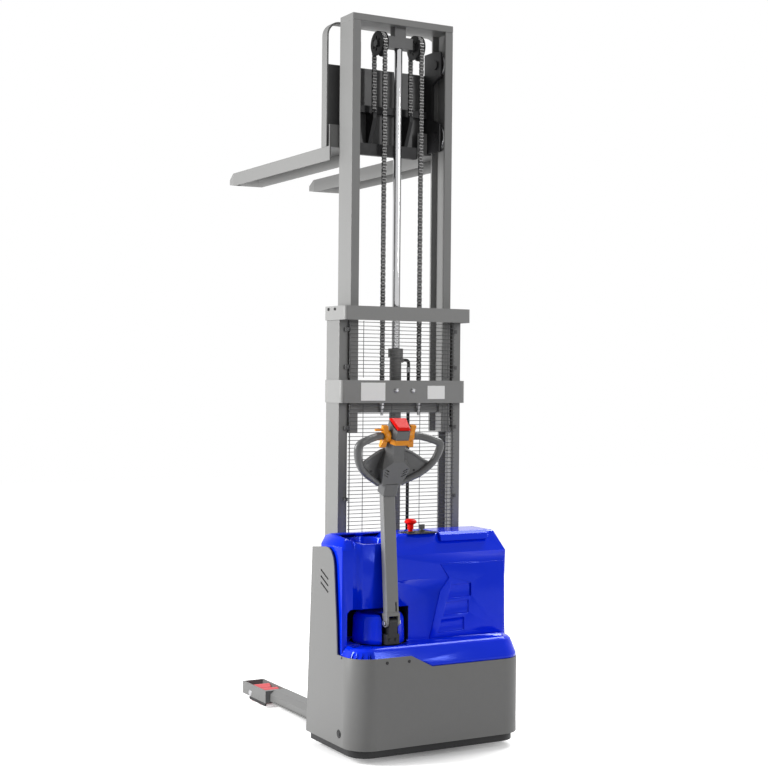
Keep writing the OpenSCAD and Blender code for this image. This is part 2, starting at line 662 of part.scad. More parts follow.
function tier(w1, y1, w2, y2, h) = [for (p = [[-w1, y1], [w1, y1], [w2, y2], [-w2, y2]])
    [p[0], p[1], cap_z + h + cap_rise * (p[1] - cap_y)]];
module belly_switch() color(red) set() on_head() {
  polyhedron(concat(tier(29, cap_y, 38, 38, 0), tier(29, cap_y, 38, 38, 3), tier(24, -21, 31, 31, 9)),
    concat([[0, 1, 2, 3], [11, 10, 9, 8]], [for (k = [0 : 3], j = [0, 4], h = [0, 1]) let (a = j + k,
      b = j + (k + 1) % 4) h == 0 ? [a, b + 4, b] : [a, a + 4, b + 4]]));
  box(-22, 22, -16, 20, 292, 318);
}
module lift_rocker() color(black) set() on_head() box(-11.5, 11.5, 21.5, 32, 161, 185);

// castor on the other side from the drive wheel
module castor_fork() color(dark) set() {
  cyl_z(20, 186, 206, 250, -200, 48);
  cyl_z(52, 176, 187.8, 250, -200, 48);
  for (s = [-1, 1]) difference() {
    hull() {
      box(250 + s * 31 - 3, 250 + s * 31 + 3, -235, -165, 172, 178);
      cyl_x(20, 250 + s * 31 - 3, 250 + s * 31 + 3, -168, 65, 32);
    }
  }
  cyl_x(10, 218, 282, -168, 65, 32);
}
module castor_wheel() color(dark) set() difference() {
  union() {
    cyl_x(65, 228, 272, -168, 65, 72);
    cyl_x(22, 223, 277, -168, 65, 32);
  }
  cyl_x(10.05, 200, 300, -168, 65, 32);
}

// inner mast and what rides with it
inner_z0 = 1290;
module inner_mast_left() color(grey) set() mirror([1, 0, 0]) inner_channel();
module inner_mast_right() color(grey) set() inner_channel();
module inner_channel() {
  channel(iw, flange_i, inner_z0, inner_top - 28);
  // stub axle of the mast roller
  cyl_x(14, iw - 2, iw + 38, chan_d / 2, inner_z0 + 46, 32);
}
module inner_ties() color(grey) set() {
  box(-iw, iw, 0, chan_d, inner_top - 28, inner_top);
  // lower tie passes in front of the cylinder
  box(-190, 190, 13.5, 20, 1374, 1414);
  for (s = [-1, 1]) box(s * 197 - 8, s * 197 + 8, 0, 20, 1374, 1414);
}
module piston_rod() color([0.8, 0.8, 0.82]) set() {
  cyl_z(rod_d / 2, 1350, pulley_z - 14, 0, cyl_y);
}
module crosshead() color(dark) set() {
  box(-60, 60, 28, 72, pulley_z - 14, pulley_z + 34);
  cyl_x(12.5, -106, 106, pul_y, pulley_z, 48);
  for (s = [-1, 1]) cyl_x(18, s > 0 ? 58 : -72, s > 0 ? 72 : -58, pul_y, pulley_z, 48);
  box(-27, 27, 30, 70, pulley_z + 33, inner_top - 28);
  for (s = [-1, 1]) cyl_x(17, s > 0 ? 105.5 : -111, s > 0 ? 111 : -105.5, pul_y, pulley_z, 6);
}
module pulley(x) translate([x, pul_y, pulley_z]) rotate([0, 90, 0]) difference() {
  rotate_extrude($fn = 72) polygon([[12.55, -16], [52, -16], [52, -12.5], [pulley_r - 7.6, -11.6],
    [pulley_r - 7.6, 11.6], [52, 12.5], [52, 16], [12.55, 16]]);
  for (a = [0 : 60 : 300]) rotate(a) translate([26, 0, -20]) cylinder(r = 6, h = 40, $fn = 20);
}
module pulley_left() color(dark) set() pulley(-chain_x);
module pulley_right() color(dark) set() pulley(chain_x);

module chain_front() color(dark) set() for (s = [-1, 1])
  box(s * chain_x - 9, s * chain_x + 9, front_y - 6.5, front_y + 6.5, 1452.1, pulley_z);
module chain_rear() color(dark) set() for (s = [-1, 1])
  box(s * chain_x - 9, s * chain_x + 9, rear_y - 6.5, rear_y + 6.5, 2652.1, pulley_z);
module chain_wraps() color(dark) set() for (s = [-1, 1])
  translate([s * chain_x, pul_y, pulley_z]) rotate([90, 0, 90])
    rotate_extrude(angle = 180, $fn = 72) translate([pulley_r - 6.5, -9]) square([13, 18]);

module mast_rollers() color(steel) set() both() difference() {
  cyl_x(47.7, iw + 5, ow - chan_t - 3, chan_d / 2, inner_z0 + 46, 64);
  cyl_x(14.05, iw, ow, chan_d / 2, inner_z0 + 46, 32);
}

// carriage, backrest and forks
up_z = 2870;
low_z = 2560;
car_y = 154;
module carriage_frame() color(dark) set() {
  for (s = [-1, 1]) {
    difference() {
      box(s * 198 - 6, s * 198 + 6, 24, car_y, 2496, 2930);
      rotate([90, 0, 90]) translate([0, 0, -600]) linear_extrude(1200)
        polygon([[20, 2920], [20, 2940], [110, 2940]]);
      rotate([90, 0, 90]) translate([0, 0, -600]) linear_extrude(1200)
        polygon([[20, 2610], [90, 2640], [90, 2790], [20, 2820]]);
    }
    // roller stubs
    for (z = [up_z, low_z]) cyl_x(14, s > 0 ? 203 : -231, s > 0 ? 231 : -203, chan_d / 2, z, 32);
    for (z = [up_z, low_z]) cyl_x(20, s > 0 ? 186 : -193, s > 0 ? 193 : -186, chan_d / 2, z, 6);
    // chain anchor gussets
    difference() {
      rotate([90, 0, 90]) translate([0, 0, s * chain_x - 8]) linear_extrude(16)
        polygon([[rear_y - 10, 2640], [rear_y - 10, 2622], [car_y - 22, 2519], [car_y, 2519], [car_y, 2651],
          [car_y - 24, 2651], [rear_y + 10, 2640]]);
    }
    cyl_z(8, 2639, 2652, s * chain_x, rear_y, 24);
  }
  box(-204, 204, car_y - 24, car_y, 2650, 2680);
  box(-204, 204, car_y - 24, car_y, 2496, 2520);
  box(-142, 142, car_y - 24, car_y, 2470, 2497);
}
module backrest_frame() color(grey) set() translate([0, car_y, 0]) difference() {
  rotate([90, 0, 180]) linear_extrude(48) difference() {
    hull() {
      translate([-285, 2494.1]) square([570, 10]);
      for (s = [-1, 1]) translate([s * 225, 2965]) circle(r = 60, $fn = 64);
    }
    hull() {
      translate([-277, 2480]) square([554, 10]);
      for (s = [-1, 1]) translate([s * 225, 2965]) circle(r = 52, $fn = 64);
    }
  }
}
module backrest_plate() color(dark) set() {
  box(-276.9, 276.9, car_y + 0.1, car_y + 5, 2496, 2842);
}
module fork() {
  x0 = fork_span / 2 - fork_w;
  x1 = fork_span / 2;
  xm = (x0 + x1) / 2;
  y0 = 122;
  h = 60;
  difference() {
    translate([0, 0, fork_z]) linear_extrude(h) polygon([[x0, y0], [x1, y0], [x1, tip_y - 130],
      [xm + 46, tip_y - 30], [xm + 24, tip_y], [xm - 24, tip_y], [xm - 46, tip_y - 30], [x0, tip_y - 130]]);
    translate([0, 0, fork_z - 1]) linear_extrude(h - 5) polygon([[x0 + 6, y0 - 1], [x1 - 6, y0 - 1],
      [x1 - 6, tip_y - 133], [xm + 40, tip_y - 33], [xm + 20, tip_y - 6], [xm - 20, tip_y - 6],
      [xm - 40, tip_y - 33], [x0 + 6, tip_y - 133]]);
    // tip slopes down on top and up below
    rotate([90, 0, 90]) linear_extrude(600) polygon([[tip_y - 120, fork_z + h + 1], [tip_y + 1, fork_z + h - 26],
      [tip_y + 1, fork_z + h + 1]]);
    rotate([90, 0, 90]) linear_extrude(600) polygon([[tip_y - 160, fork_z - 1], [tip_y + 1, fork_z + 20],
      [tip_y + 1, fork_z - 1]]);
    // heel set a little lower than the load's bearing face
    box(x0 - 1, x1 + 1, y0 - 1, car_y + 51, fork_z + h - 0.6, fork_z + h + 1);
  }
  // hooks of the fork behind the carriage, either side of its upright
  for (x = [x0, 205]) box(x, x == x0 ? 191 : x1, car_y - 30, car_y - 24.1, fork_z + h - 2, fork_z + h + 90);
}
module fork_left() color(grey) set() mirror([1, 0, 0]) fork();
module fork_right() color(grey) set() fork();

module carriage_rollers(z) both() difference() {
  cyl_x(47.7, 206, 230.5, chan_d / 2, z, 64);
  cyl_x(14.05, 200, 240, chan_d / 2, z, 32);
}
module rollers_upper() color(steel) set() carriage_rollers(up_z);
module rollers_lower() color(steel) set() carriage_rollers(low_z);

chassis_frame();
leg_left();
leg_right();
leg_axles();
outer_mast_left();
outer_mast_right();
upper_tie();
lower_tie();
lift_cylinder();
hydraulic_hose();
chain_anchors();
wire_guard();
guard_clips();
label_plates();
tie_fasteners();
skirt();
hood();
dash_panel();
battery();
hydraulic_unit();
battery_lid();
estop_button();
ignition_key();
drive_unit();
tiller_base();
base_cover();
pivot_pin();
drive_hub();
drive_tyre();
tiller_arm();
head_shell();
handle_frame();
head_band();
butterflies();
belly_switch();
lift_rocker();
castor_fork();
castor_wheel();
load_roller_lf();
load_roller_lr();
load_roller_rf();
load_roller_rr();
inner_mast_left();
inner_mast_right();
inner_ties();
piston_rod();
crosshead();
pulley_left();
pulley_right();
chain_front();
chain_rear();
chain_wraps();
mast_rollers();
carriage_frame();
backrest_frame();
backrest_plate();
fork_left();
fork_right();
rollers_upper();
rollers_lower();
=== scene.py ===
"""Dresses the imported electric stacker: a raised two-stage mast, a hooded power unit and a tiller.

X runs to the operator's right, Y towards the fork tips and Z up, in metres. The frame holds every structural
size, and each new piece takes its place from the CAD node that it stands for.
"""

import json
import math

import bmesh
import bpy
import numpy as np
from mathutils import Matrix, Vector
from mathutils.bvhtree import BVHTree

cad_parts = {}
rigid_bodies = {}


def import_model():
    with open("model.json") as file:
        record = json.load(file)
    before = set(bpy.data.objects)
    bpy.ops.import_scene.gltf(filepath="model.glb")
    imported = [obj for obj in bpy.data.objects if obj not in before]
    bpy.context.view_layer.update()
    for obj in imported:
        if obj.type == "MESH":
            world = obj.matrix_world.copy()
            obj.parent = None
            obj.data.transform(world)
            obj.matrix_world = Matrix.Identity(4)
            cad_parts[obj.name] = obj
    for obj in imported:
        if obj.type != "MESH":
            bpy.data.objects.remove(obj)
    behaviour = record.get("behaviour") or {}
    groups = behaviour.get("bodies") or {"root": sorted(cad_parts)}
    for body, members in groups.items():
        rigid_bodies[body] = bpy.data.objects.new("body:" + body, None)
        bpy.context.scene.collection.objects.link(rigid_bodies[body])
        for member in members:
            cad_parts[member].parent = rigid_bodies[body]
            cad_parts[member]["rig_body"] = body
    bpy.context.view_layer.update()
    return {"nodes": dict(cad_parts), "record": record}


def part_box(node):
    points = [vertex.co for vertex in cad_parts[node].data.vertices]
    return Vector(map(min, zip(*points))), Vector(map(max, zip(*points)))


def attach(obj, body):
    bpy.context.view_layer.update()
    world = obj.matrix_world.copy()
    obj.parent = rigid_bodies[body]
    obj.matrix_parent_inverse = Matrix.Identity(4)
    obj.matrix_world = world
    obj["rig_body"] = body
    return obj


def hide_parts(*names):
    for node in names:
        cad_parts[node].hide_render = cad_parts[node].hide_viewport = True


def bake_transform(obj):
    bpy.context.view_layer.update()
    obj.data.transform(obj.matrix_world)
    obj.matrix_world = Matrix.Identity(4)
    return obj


bl_info = {
    "name": "Electric Stacker",
    "version": (1, 0, 0),
    "blender": (4, 5, 0),
    "location": "View3D > Sidebar > Stacker",
    "description": "Builds the visible surfaces of a pedestrian electric stacker round its packed frame",
    "category": "Object",
}

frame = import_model()
NODES = frame["nodes"]
TAU = 2 * math.pi


def cad_box(node):
    """Lowest and highest corner of a node as two arrays."""
    lo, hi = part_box(node)
    return np.array(lo), np.array(hi)


def cad_mid(node):
    """Middle of a node's box."""
    lo, hi = cad_box(node)
    return (lo + hi) / 2


# Surfaces worked out as arrays


def grid_faces(rows, cols, wrap_rows=False, wrap_cols=False, first=0):
    """Quads of a grid of rows x cols points, each joined to the next row and the next column."""
    r = np.arange(rows if wrap_rows else rows - 1)
    c = np.arange(cols if wrap_cols else cols - 1)
    r, c = np.meshgrid(r, c, indexing="ij")
    r1, c1 = (r + 1) % rows, (c + 1) % cols
    quads = np.stack([r * cols + c, r * cols + c1, r1 * cols + c1, r1 * cols + c], -1)
    return quads.reshape(-1, 4) + first


def join(*parts):
    """Several (points, faces) shells as one, with the face numbers of each moved on."""
    points, faces, n = [], [], 0
    for p, f in parts:
        points.append(np.asarray(p, float))
        faces += [[i + n for i in face] for face in (f.tolist() if hasattr(f, "tolist") else f)]
        n += len(p)
    return np.concatenate(points), faces


def capped(points, rows, cols):
    """A grid of closed rings, rows of cols points, whose first and last ring are closed by one face each."""
    faces = grid_faces(rows, cols, wrap_cols=True).tolist()
    faces.append(list(range(cols))[::-1])
    faces.append(list(range((rows - 1) * cols, rows * cols)))
    return points.reshape(-1, 3), faces


def mesh_object(name, shell, smooth=35.0):
    """A mesh object of one shell: doubles merged, faces turned outwards, smooth across flatter edges."""
    points, faces = shell
    name = name.replace(" ", "_")
    mesh = bpy.data.meshes.new(name)
    mesh.from_pydata(np.asarray(points, float).tolist(), [], [list(map(int, f)) for f in faces])
    obj = bpy.data.objects.new(name, mesh)
    bpy.context.scene.collection.objects.link(obj)
    clean(obj)
    shade(obj, smooth)
    return obj


def clean(obj, gap=1e-6):
    """Merges doubles and turns faces outwards."""
    bm = bmesh.new()
    bm.from_mesh(obj.data)
    bmesh.ops.remove_doubles(bm, verts=bm.verts, dist=gap)
    bmesh.ops.recalc_face_normals(bm, faces=bm.faces)
    bm.to_mesh(obj.data)
    bm.free()


def shade(obj, angle):
    """Smooth shading across edges flatter than the angle in degrees."""
    mesh = obj.data
    mesh.polygons.foreach_set("use_smooth", np.ones(len(mesh.polygons), bool))
    mesh.set_sharp_from_angle(angle=math.radians(angle))
    mesh.update()


def unit(v):
    """Rows of v at length one."""
    n = np.linalg.norm(v, axis=-1, keepdims=True)
    return v / np.where(n < 1e-12, 1, n)


def tangents(path):
    """Direction of the path at each of its points, from its neighbours."""
    return unit(np.gradient(np.asarray(path, float), axis=0))


def carry(path, profile, side):
    """A closed profile carried along a path: path + profile.x * (tangent x side) + profile.y * side."""
    path = np.asarray(path, float)
    t = tangents(path)
    b = unit(np.broadcast_to(side, t.shape) - (t * side).sum(-1, keepdims=True) * t)
    n = np.cross(t, b)
    prof = np.asarray(profile, float)
    if prof.ndim == 2:
        prof = np.broadcast_to(prof, (len(path),) + prof.shape)
    pts = path[:, None] + prof[..., :1] * n[:, None] + prof[..., 1:] * b[:, None]
    return capped(pts, len(path), prof.shape[1])


def ring(radius, sides, start=0.0):
    """Circle of a given radius as sides points."""
    a = start + np.arange(sides) * TAU / sides
    return np.stack([radius * np.cos(a), radius * np.sin(a)], -1)


def smooth_path(points, count):
    """Points of a Catmull-Rom curve through the given ones, count in all."""
    p = np.asarray(points, float)
    p = np.concatenate([[2 * p[0] - p[1]], p, [2 * p[-1] - p[-2]]])
    s = np.linspace(0, len(p) - 3 - 1e-9, count)
    k = s.astype(int)
    t = (s - k)[:, None]
    a, b, c, d = p[k], p[k + 1], p[k + 2], p[k + 3]
    return 0.5 * (2 * b + (c - a) * t + (2 * a - 5 * b + 4 * c - d) * t**2 + (3 * b - a - 3 * c + d) * t**3)


def revolve(profile, centre, axis, sides=48):
    """A grid of points: a profile of (radius, height) turned round an axis through the centre."""
    axis = np.asarray(axis, float) / np.linalg.norm(axis)
    u = np.cross(axis, [0.0, 0.0, 1.0] if abs(axis[2]) < 0.9 else [1.0, 0.0, 0.0])
    u /= np.linalg.norm(u)
    v = np.cross(axis, u)
    prof = np.asarray(profile, float)
    a = np.arange(sides) * TAU / sides
    turn = np.cos(a)[:, None] * u + np.sin(a)[:, None] * v
    return np.asarray(centre) + prof[:, None, :1] * turn[None] + prof[:, None, 1:] * axis


def turned(profile, centre, axis, sides=48):
    """A revolved profile whose two ends are closed by flat faces."""
    return capped(revolve(profile, centre, axis, sides), len(profile), sides)


def rounded_box(lo, hi, radius, axis=2, steps=5):
    """A box whose four edges along the axis are rounded, its ends drawn in by a small bevel."""
    lo, hi = np.asarray(lo, float), np.asarray(hi, float)
    others = [k for k in range(3) if k != axis]
    half = (hi - lo)[others] / 2
    mid = (hi + lo)[others] / 2
    r = min(radius, *half)
    a = np.linspace(0, TAU / 4, steps)
    quarter = np.stack([np.cos(a), np.sin(a)], -1) * r + (half - r)
    loop = np.concatenate([quarter, quarter[::-1] * [-1, 1], quarter * [-1, -1], quarter[::-1] * [1, -1]])
    b = min(0.25 * radius, 0.2 * (hi - lo)[axis])
    rows = [(lo[axis], b), (lo[axis] + b, 0), (hi[axis] - b, 0), (hi[axis], b)]
    pts = np.zeros((len(rows), len(loop), 3))
    for k, (h, inset) in enumerate(rows):
        pts[k, :, axis] = h
        pts[k][:, others] = mid + loop * (1 - inset / half)
    return capped(pts, len(rows), len(loop))


# Finishes


def colour_of(rgb):
    """Four numbers of a linear colour."""
    return (rgb[0], rgb[1], rgb[2], 1.0)


def shader(tree, kind, **settings):
    """A new shader node with its settings."""
    made = tree.nodes.new("ShaderNode" + kind)
    for key, value in settings.items():
        setattr(made, key, value)
    return made


def plug(tree, node, **values):
    """Sets a node's sockets, named with _ for a space, to numbers or to what is linked from other nodes."""
    for key, value in values.items():
        socket = node.inputs[key.replace("_", " ")]
        if isinstance(value, bpy.types.NodeSocket):
            tree.links.new(value, socket)
        else:
            socket.default_value = value
    return node


def sums(tree, operation, *values):
    """Result of a math node on up to three numbers or linked values."""
    made = shader(tree, "Math", operation=operation)
    for socket, value in zip(made.inputs, values):
        if isinstance(value, bpy.types.NodeSocket):
            tree.links.new(value, socket)
        else:
            socket.default_value = value
    return made.outputs[0]


def noise(tree, place, scale, detail):
    """A cloudy pattern between 0 and 1 on the placed coordinates."""
    return plug(tree, shader(tree, "TexNoise"), Vector=place, Scale=scale, Detail=detail).outputs[0]


CLOUD_LOW, CLOUD_HIGH = 0.30, 0.70
BROAD = 16
BUMP_DEPTH = 0.0006


def material(name, rgb, rough, metal=0.0, grain=90.0, shift=0.06, rough_shift=0.06, bump=0.04,
             bump_scale=260.0, gloss=0.5, streak=(1.0, 1.0, 1.0), tint=(1.0, 1.0, 1.0)):
    """A finish on Object coordinates: fine and broad clouds shift its colour and roughness, and a fine bump
    lies on it. Streak stretches the pattern, and tint colours what it reflects head on."""
    made = bpy.data.materials.new(name)
    made.use_nodes = True
    tree = made.node_tree
    tree.nodes.clear()
    mapping = shader(tree, "Mapping")
    plug(tree, mapping, Vector=shader(tree, "TexCoord").outputs["Object"], Scale=streak)
    place = mapping.outputs[0]
    broad = sums(tree, "MULTIPLY", noise(tree, place, grain / BROAD, 2.0), 0.5)
    cloud = sums(tree, "MULTIPLY_ADD", noise(tree, place, grain, 4.0), 0.5, broad)
    ramp = shader(tree, "ValToRGB")
    ends = (CLOUD_LOW, [c * (1 - shift) for c in rgb]), (CLOUD_HIGH, [min(1, c * (1 + shift)) for c in rgb])
    for stop, (position, value) in zip(ramp.color_ramp.elements, ends):
        stop.position, stop.color = position, colour_of(value)
    plug(tree, ramp, Fac=cloud)
    spread = plug(tree, shader(tree, "MapRange"), Value=cloud, From_Min=CLOUD_LOW, From_Max=CLOUD_HIGH,
                  To_Min=max(0.02, rough - rough_shift), To_Max=min(1.0, rough + rough_shift))
    relief = plug(tree, shader(tree, "Bump"), Height=noise(tree, place, bump_scale, 3.0), Strength=bump,
                  Distance=BUMP_DEPTH)
    skin = plug(tree, shader(tree, "BsdfPrincipled"), Base_Color=ramp.outputs[0],
                Roughness=spread.outputs[0], Normal=relief.outputs[0], Metallic=metal,
                Specular_IOR_Level=gloss, Specular_Tint=colour_of(tint))
    tree.links.new(skin.outputs[0], shader(tree, "OutputMaterial").inputs[0])
    return made


def colour_choice(name, description, default):
    """A colour that the sidebar shows."""
    return bpy.props.FloatVectorProperty(
        name=name, description=description, subtype="COLOR", size=3, default=default, min=0.0, max=1.0)


def radius_choice(name, description, default, least, most):
    """A radius in metres that the sidebar shows."""
    return bpy.props.FloatProperty(
        name=name, description=description, unit="LENGTH", default=default, min=least, max=most, precision=4)


class StackerLook(bpy.types.PropertyGroup):
    """Colours of the paint and the mouldings, and sizes of the round stock and the edges."""

    paint: colour_choice("Steel paint", "Grey of mast, skirt, legs and forks",
                         (0.205, 0.205, 0.202))
    hood: colour_choice("Hood", "Blue of the hood, its lid and the steering cover",
                        (0.0004, 0.024, 0.78))
    orange: colour_choice("Speed paddles", "Orange of the paddles and the band on the head",
                          (0.85, 0.30, 0.01))
    red: colour_choice("Safety red", "Red of the emergency stop and of the head's end switch",
                       (0.74, 0.006, 0.004))
    roller: colour_choice("Load rollers", "Pink red of the rollers in the legs", (0.62, 0.09, 0.10))
    wire_radius: radius_choice("Guard wire", "Radius of the wires of the mesh guard",
                               0.0014, 0.0008, 0.0016)
    rim_wire_radius: radius_choice("Guard rim wire", "Radius of the guard's outermost uprights",
                                   0.0025, 0.001, 0.003)
    hose_radius: radius_choice("Hose", "Outer radius of the pressure hose", 0.007, 0.004, 0.0074)
    grip_radius: radius_choice("Grip", "Radius of the handle's bar where the loop starts",
                               0.015, 0.010, 0.0155)
    edge_share: bpy.props.FloatProperty(
        name="Edge rounding", description="Share of each piece's edge rounding that is cut",
        subtype="FACTOR", default=1.0, min=0.2, max=1.0)


FINISH = {}
# The skirt, legs, leg pins and lift cylinder take the grey darker by the first share, as painted shade low
# down. The ties take it lighter by the second, as painted light high up.
SKIRT_PAINTED_SHADE, TIE_PAINTED_LIGHT = 0.82, 1.22


def enamel(name, rgb, rough=0.46, bump=0.10, gloss=0.35, shift=0.035):
    """Sprayed and baked paint with a faint orange peel."""
    return material(name, rgb, rough, grain=40, shift=shift, bump=bump, bump_scale=420, gloss=gloss)


def moulding(name, rgb, rough, bump, bump_scale, shift=0.06, **more):
    """Moulded plastic or rubber with a fine grain."""
    settings = {"gloss": 0.3, **more}
    return material(name, rgb, rough, shift=shift, bump=bump, bump_scale=bump_scale, **settings)


def bare_metal(name, rgb, rough, **more):
    """Bare or plated metal."""
    return material(name, rgb, rough, **{"metal": 1.0, "grain": 160, **more})


def make_finishes(look):
    """Every finish by its name; most are the record's slots."""
    paint = tuple(look.paint)
    orange, red = tuple(look.orange), tuple(look.red)
    FINISH.update(
        frame_paint=enamel("grey enamel", paint),
        # Grey darkened as painted shade, and grey lightened as painted light.
        skirt_paint=enamel("grey enamel with painted shade", [SKIRT_PAINTED_SHADE * c for c in paint]),
        tie_paint=enamel("grey enamel with painted light", [TIE_PAINTED_LIGHT * c for c in paint]),
        plinth_paint=enamel("black enamel", (0.014, 0.014, 0.015), 0.5, gloss=0.3, shift=0.06),
        tube_paint=enamel("dark grey enamel", (0.075, 0.075, 0.076), 0.42, bump=0.08, gloss=0.4, shift=0.06),
        dark_iron=material("painted casting", (0.020, 0.020, 0.021), 0.55, grain=120, bump=0.5,
                           bump_scale=500, gloss=0.3),
        hood_plastic=material("blue gloss moulding", tuple(look.hood), 0.12, grain=12, shift=0.03,
                              rough_shift=0.03, bump=0.02, bump_scale=160, tint=(0.2, 0.3, 1.0)),
        dash_plastic=moulding("black textured moulding", (0.012, 0.012, 0.013), 0.5, 0.35, 900),
        black_plastic=moulding("black case", (0.015, 0.015, 0.016), 0.6, 0.3, 800),
        head_plastic=moulding("grey moulding", (0.090, 0.091, 0.092), 0.34, 0.25, 900, gloss=0.5),
        orange_plastic=moulding("orange moulding", orange, 0.32, 0.12, 700, shift=0.04),
        red_plastic=moulding("red moulding", red, 0.42, 0.10, 700, shift=0.04, tint=(1.0, 0.1, 0.08)),
        hose_rubber=moulding("hose rubber", (0.012, 0.012, 0.012), 0.55, 0.3, 1200),
        tyre_rubber=moulding("solid tyre", (0.03, 0.03, 0.032), 0.65, 0.4, 700),
        roller_pu=moulding("pink elastomer", tuple(look.roller), 0.42, 0.15, 500, shift=0.08),
        label_stock=material("white film", (0.93, 0.93, 0.92), 0.4, shift=0.015, bump=0.03),
        zinc_steel=bare_metal("zinc plate", (0.42, 0.42, 0.43), 0.36, shift=0.10),
        ground_steel=bare_metal("turned steel", (0.42, 0.42, 0.43), 0.3, streak=(1.0, 0.1, 0.1)),
        rod_chrome=bare_metal("hard chrome", (0.58, 0.58, 0.59), 0.10, grain=30, shift=0.02,
                              rough_shift=0.02, bump=0.01),
        chain_steel=bare_metal("worn chain", (0.45, 0.445, 0.44), 0.40, metal=0.9, grain=300, shift=0.15),
    )


def finish(obj, slot, look=None):
    """Gives a piece the finish of one of the record's slots, or its own look within that slot."""
    obj.data.materials.clear()
    obj.data.materials.append(FINISH[look or slot])
    return obj


def face_values(obj, what, size=3):
    """One value or vector of every face, as rows."""
    values = np.zeros(len(obj.data.polygons) * size)
    obj.data.polygons.foreach_get(what, values)
    return values.reshape(-1, size)


def second_finish(obj, look, mask):
    """Gives another finish to the faces that the mask picks."""
    obj.data.materials.append(FINISH[look])
    obj.data.polygons.foreach_set("material_index", np.asarray(mask, np.int32))


# Pieces in place of nodes, beside them, and nodes with rounded edges

NODE_SLOT = {s["node"]: s["material_slot"] for s in frame["record"]["subparts"]}
WELD_GAP = 1e-5
FLAT_ANGLE = math.radians(0.4)


def stand_in(name, shell, node, smooth=35.0, look=None):
    """A new piece that takes the place of a node and rides on the node's body."""
    obj = mesh_object(name, shell, smooth)
    finish(obj, NODE_SLOT[node], look)
    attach(obj, NODES[node]["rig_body"])
    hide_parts(node)
    return obj


def extra(name, shell, body, slot, smooth=35.0):
    """A new small piece that stands for no node."""
    obj = mesh_object(name, shell, smooth)
    finish(obj, slot)
    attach(obj, body)
    return obj


def cut_edges(obj, width, segments):
    """A bevel modifier of the given width, less the share that the sidebar takes off."""
    edge = obj.modifiers.new("edge", "BEVEL")
    edge.width = width * bpy.context.scene.stacker_look.edge_share
    edge.segments = segments
    edge.harden_normals = False
    edge.miter_outer = "MITER_ARC"
    return edge


def soften(node, width, segments=2, angle=30.0, join_flat=True, look=None):
    """Rounds a carried-over node with modifiers: loose faces are welded, flat ones joined, edges cut."""
    obj = NODES[node]
    finish(obj, NODE_SLOT[node], look)
    obj.modifiers.new("weld", "WELD").merge_threshold = WELD_GAP
    if join_flat:
        flat = obj.modifiers.new("flat", "DECIMATE")
        flat.decimate_type = "DISSOLVE"
        flat.angle_limit = FLAT_ANGLE
    edge = cut_edges(obj, width, segments)
    edge.limit_method = "ANGLE"
    edge.angle_limit = math.radians(angle)
    edge.use_clamp_overlap = True
    return obj


TAPER = 5
STRAY = 0.55
STRAY_REACH = 0.004
ROUNDS = 10


def soften_by_weight(node, width, segments=2, angle=15.0):
    """Rounds a welded copy of a node along its edges steeper than an angle, and short ones less. After each
    round the shape is measured against the node's solid, and edges near a point that strays from it by more
    than STRAY widths are kept sharp."""
    mesh = NODES[node].data
    points = np.zeros(len(mesh.vertices) * 3)
    mesh.vertices.foreach_get("co", points)
    faces = [list(p.vertices) for p in mesh.polygons]
    obj = stand_in(node + " rounded", (points.reshape(-1, 3), faces), node, smooth=angle)
    obj.data.attributes.remove(obj.data.attributes["sharp_edge"])
    solid = bmesh.new()
    solid.from_mesh(obj.data)
    tree = BVHTree.FromBMesh(solid)
    steep = np.array([e.calc_face_angle(0.0) for e in solid.edges]) > math.radians(angle)
    a, b = (np.array([e.verts[k].co[:] for e in solid.edges]) for k in (0, 1))
    solid.free()
    length = np.linalg.norm(b - a, axis=1)
    weight = steep * np.minimum(1.0, length / (TAPER * width))
    edge = cut_edges(obj, width, segments)
    edge.limit_method = "WEIGHT"
    edge.use_clamp_overlap = False
    store = obj.data.attributes.new("bevel_weight_edge", "FLOAT", "EDGE")
    for _ in range(ROUNDS):
        store.data.foreach_set("value", weight.astype(np.float32))
        obj.data.update()
        cut = obj.evaluated_get(bpy.context.evaluated_depsgraph_get()).to_mesh()
        near = [tree.find_nearest(v.co) for v in cut.vertices]
        near += [tree.find_nearest(p.center) for p in cut.polygons]
        strays = np.array([place[:] for place, _, _, gap in near if gap > STRAY * width])
        if not len(strays):
            break
        along = ((strays[:, None] - a) * (b - a)).sum(-1) / np.maximum(length**2, 1e-12)
        foot = a + np.clip(along, 0, 1)[..., None] * (b - a)
        gap = np.linalg.norm(strays[:, None] - foot, axis=-1)
        gap[:, weight == 0] = np.inf
        weight[(gap <= np.maximum(STRAY_REACH, gap.min(1, keepdims=True) + 1e-6)).any(0)] = 0.0
    return obj


# Places: MID is how far the mast's face lies behind the frame's middle

MID = -float(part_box("outer_mast_left")[0][1])
JOINTS = {j["name"]: j for j in frame["record"]["behaviour"]["joints"]}
HEAD_TILT = math.radians(20.0)
THUMB_WHEEL = np.array([0.0, 14.0, 270.0])


def mast(points):
    """Points given in millimetres from the mast's face, in the frame's metres."""
    return np.asarray(points, float) / 1000 - [0.0, MID, 0.0]


def head(points):
    """Points given in millimetres along and across the tiller's head, in the frame's metres."""
    c, s = math.cos(HEAD_TILT), math.sin(HEAD_TILT)
    turn = np.array([[1, 0, 0], [0, c, -s], [0, s, c]])
    place = np.array(JOINTS["butterfly_turn"]["pos_m"])
    return place + (np.asarray(points, float) - THUMB_WHEEL) @ turn.T / 1000


def placed(shell, move):
    """A shell with its points sent through a function."""
    return move(shell[0]), shell[1]


def mirrored(shell):
    """A shell with its X turned round."""
    return np.asarray(shell[0]) * [-1, 1, 1], shell[1]


def repeat(shell, places):
    """Copies of a shell, one at each place."""
    points, faces = np.asarray(shell[0], float), shell[1]
    places = np.asarray(places, float)
    n = len(points)
    every = (points[None] + places[:, None]).reshape(-1, 3)
    return every, [[i + n * k for i in face] for k in range(len(places)) for face in faces]


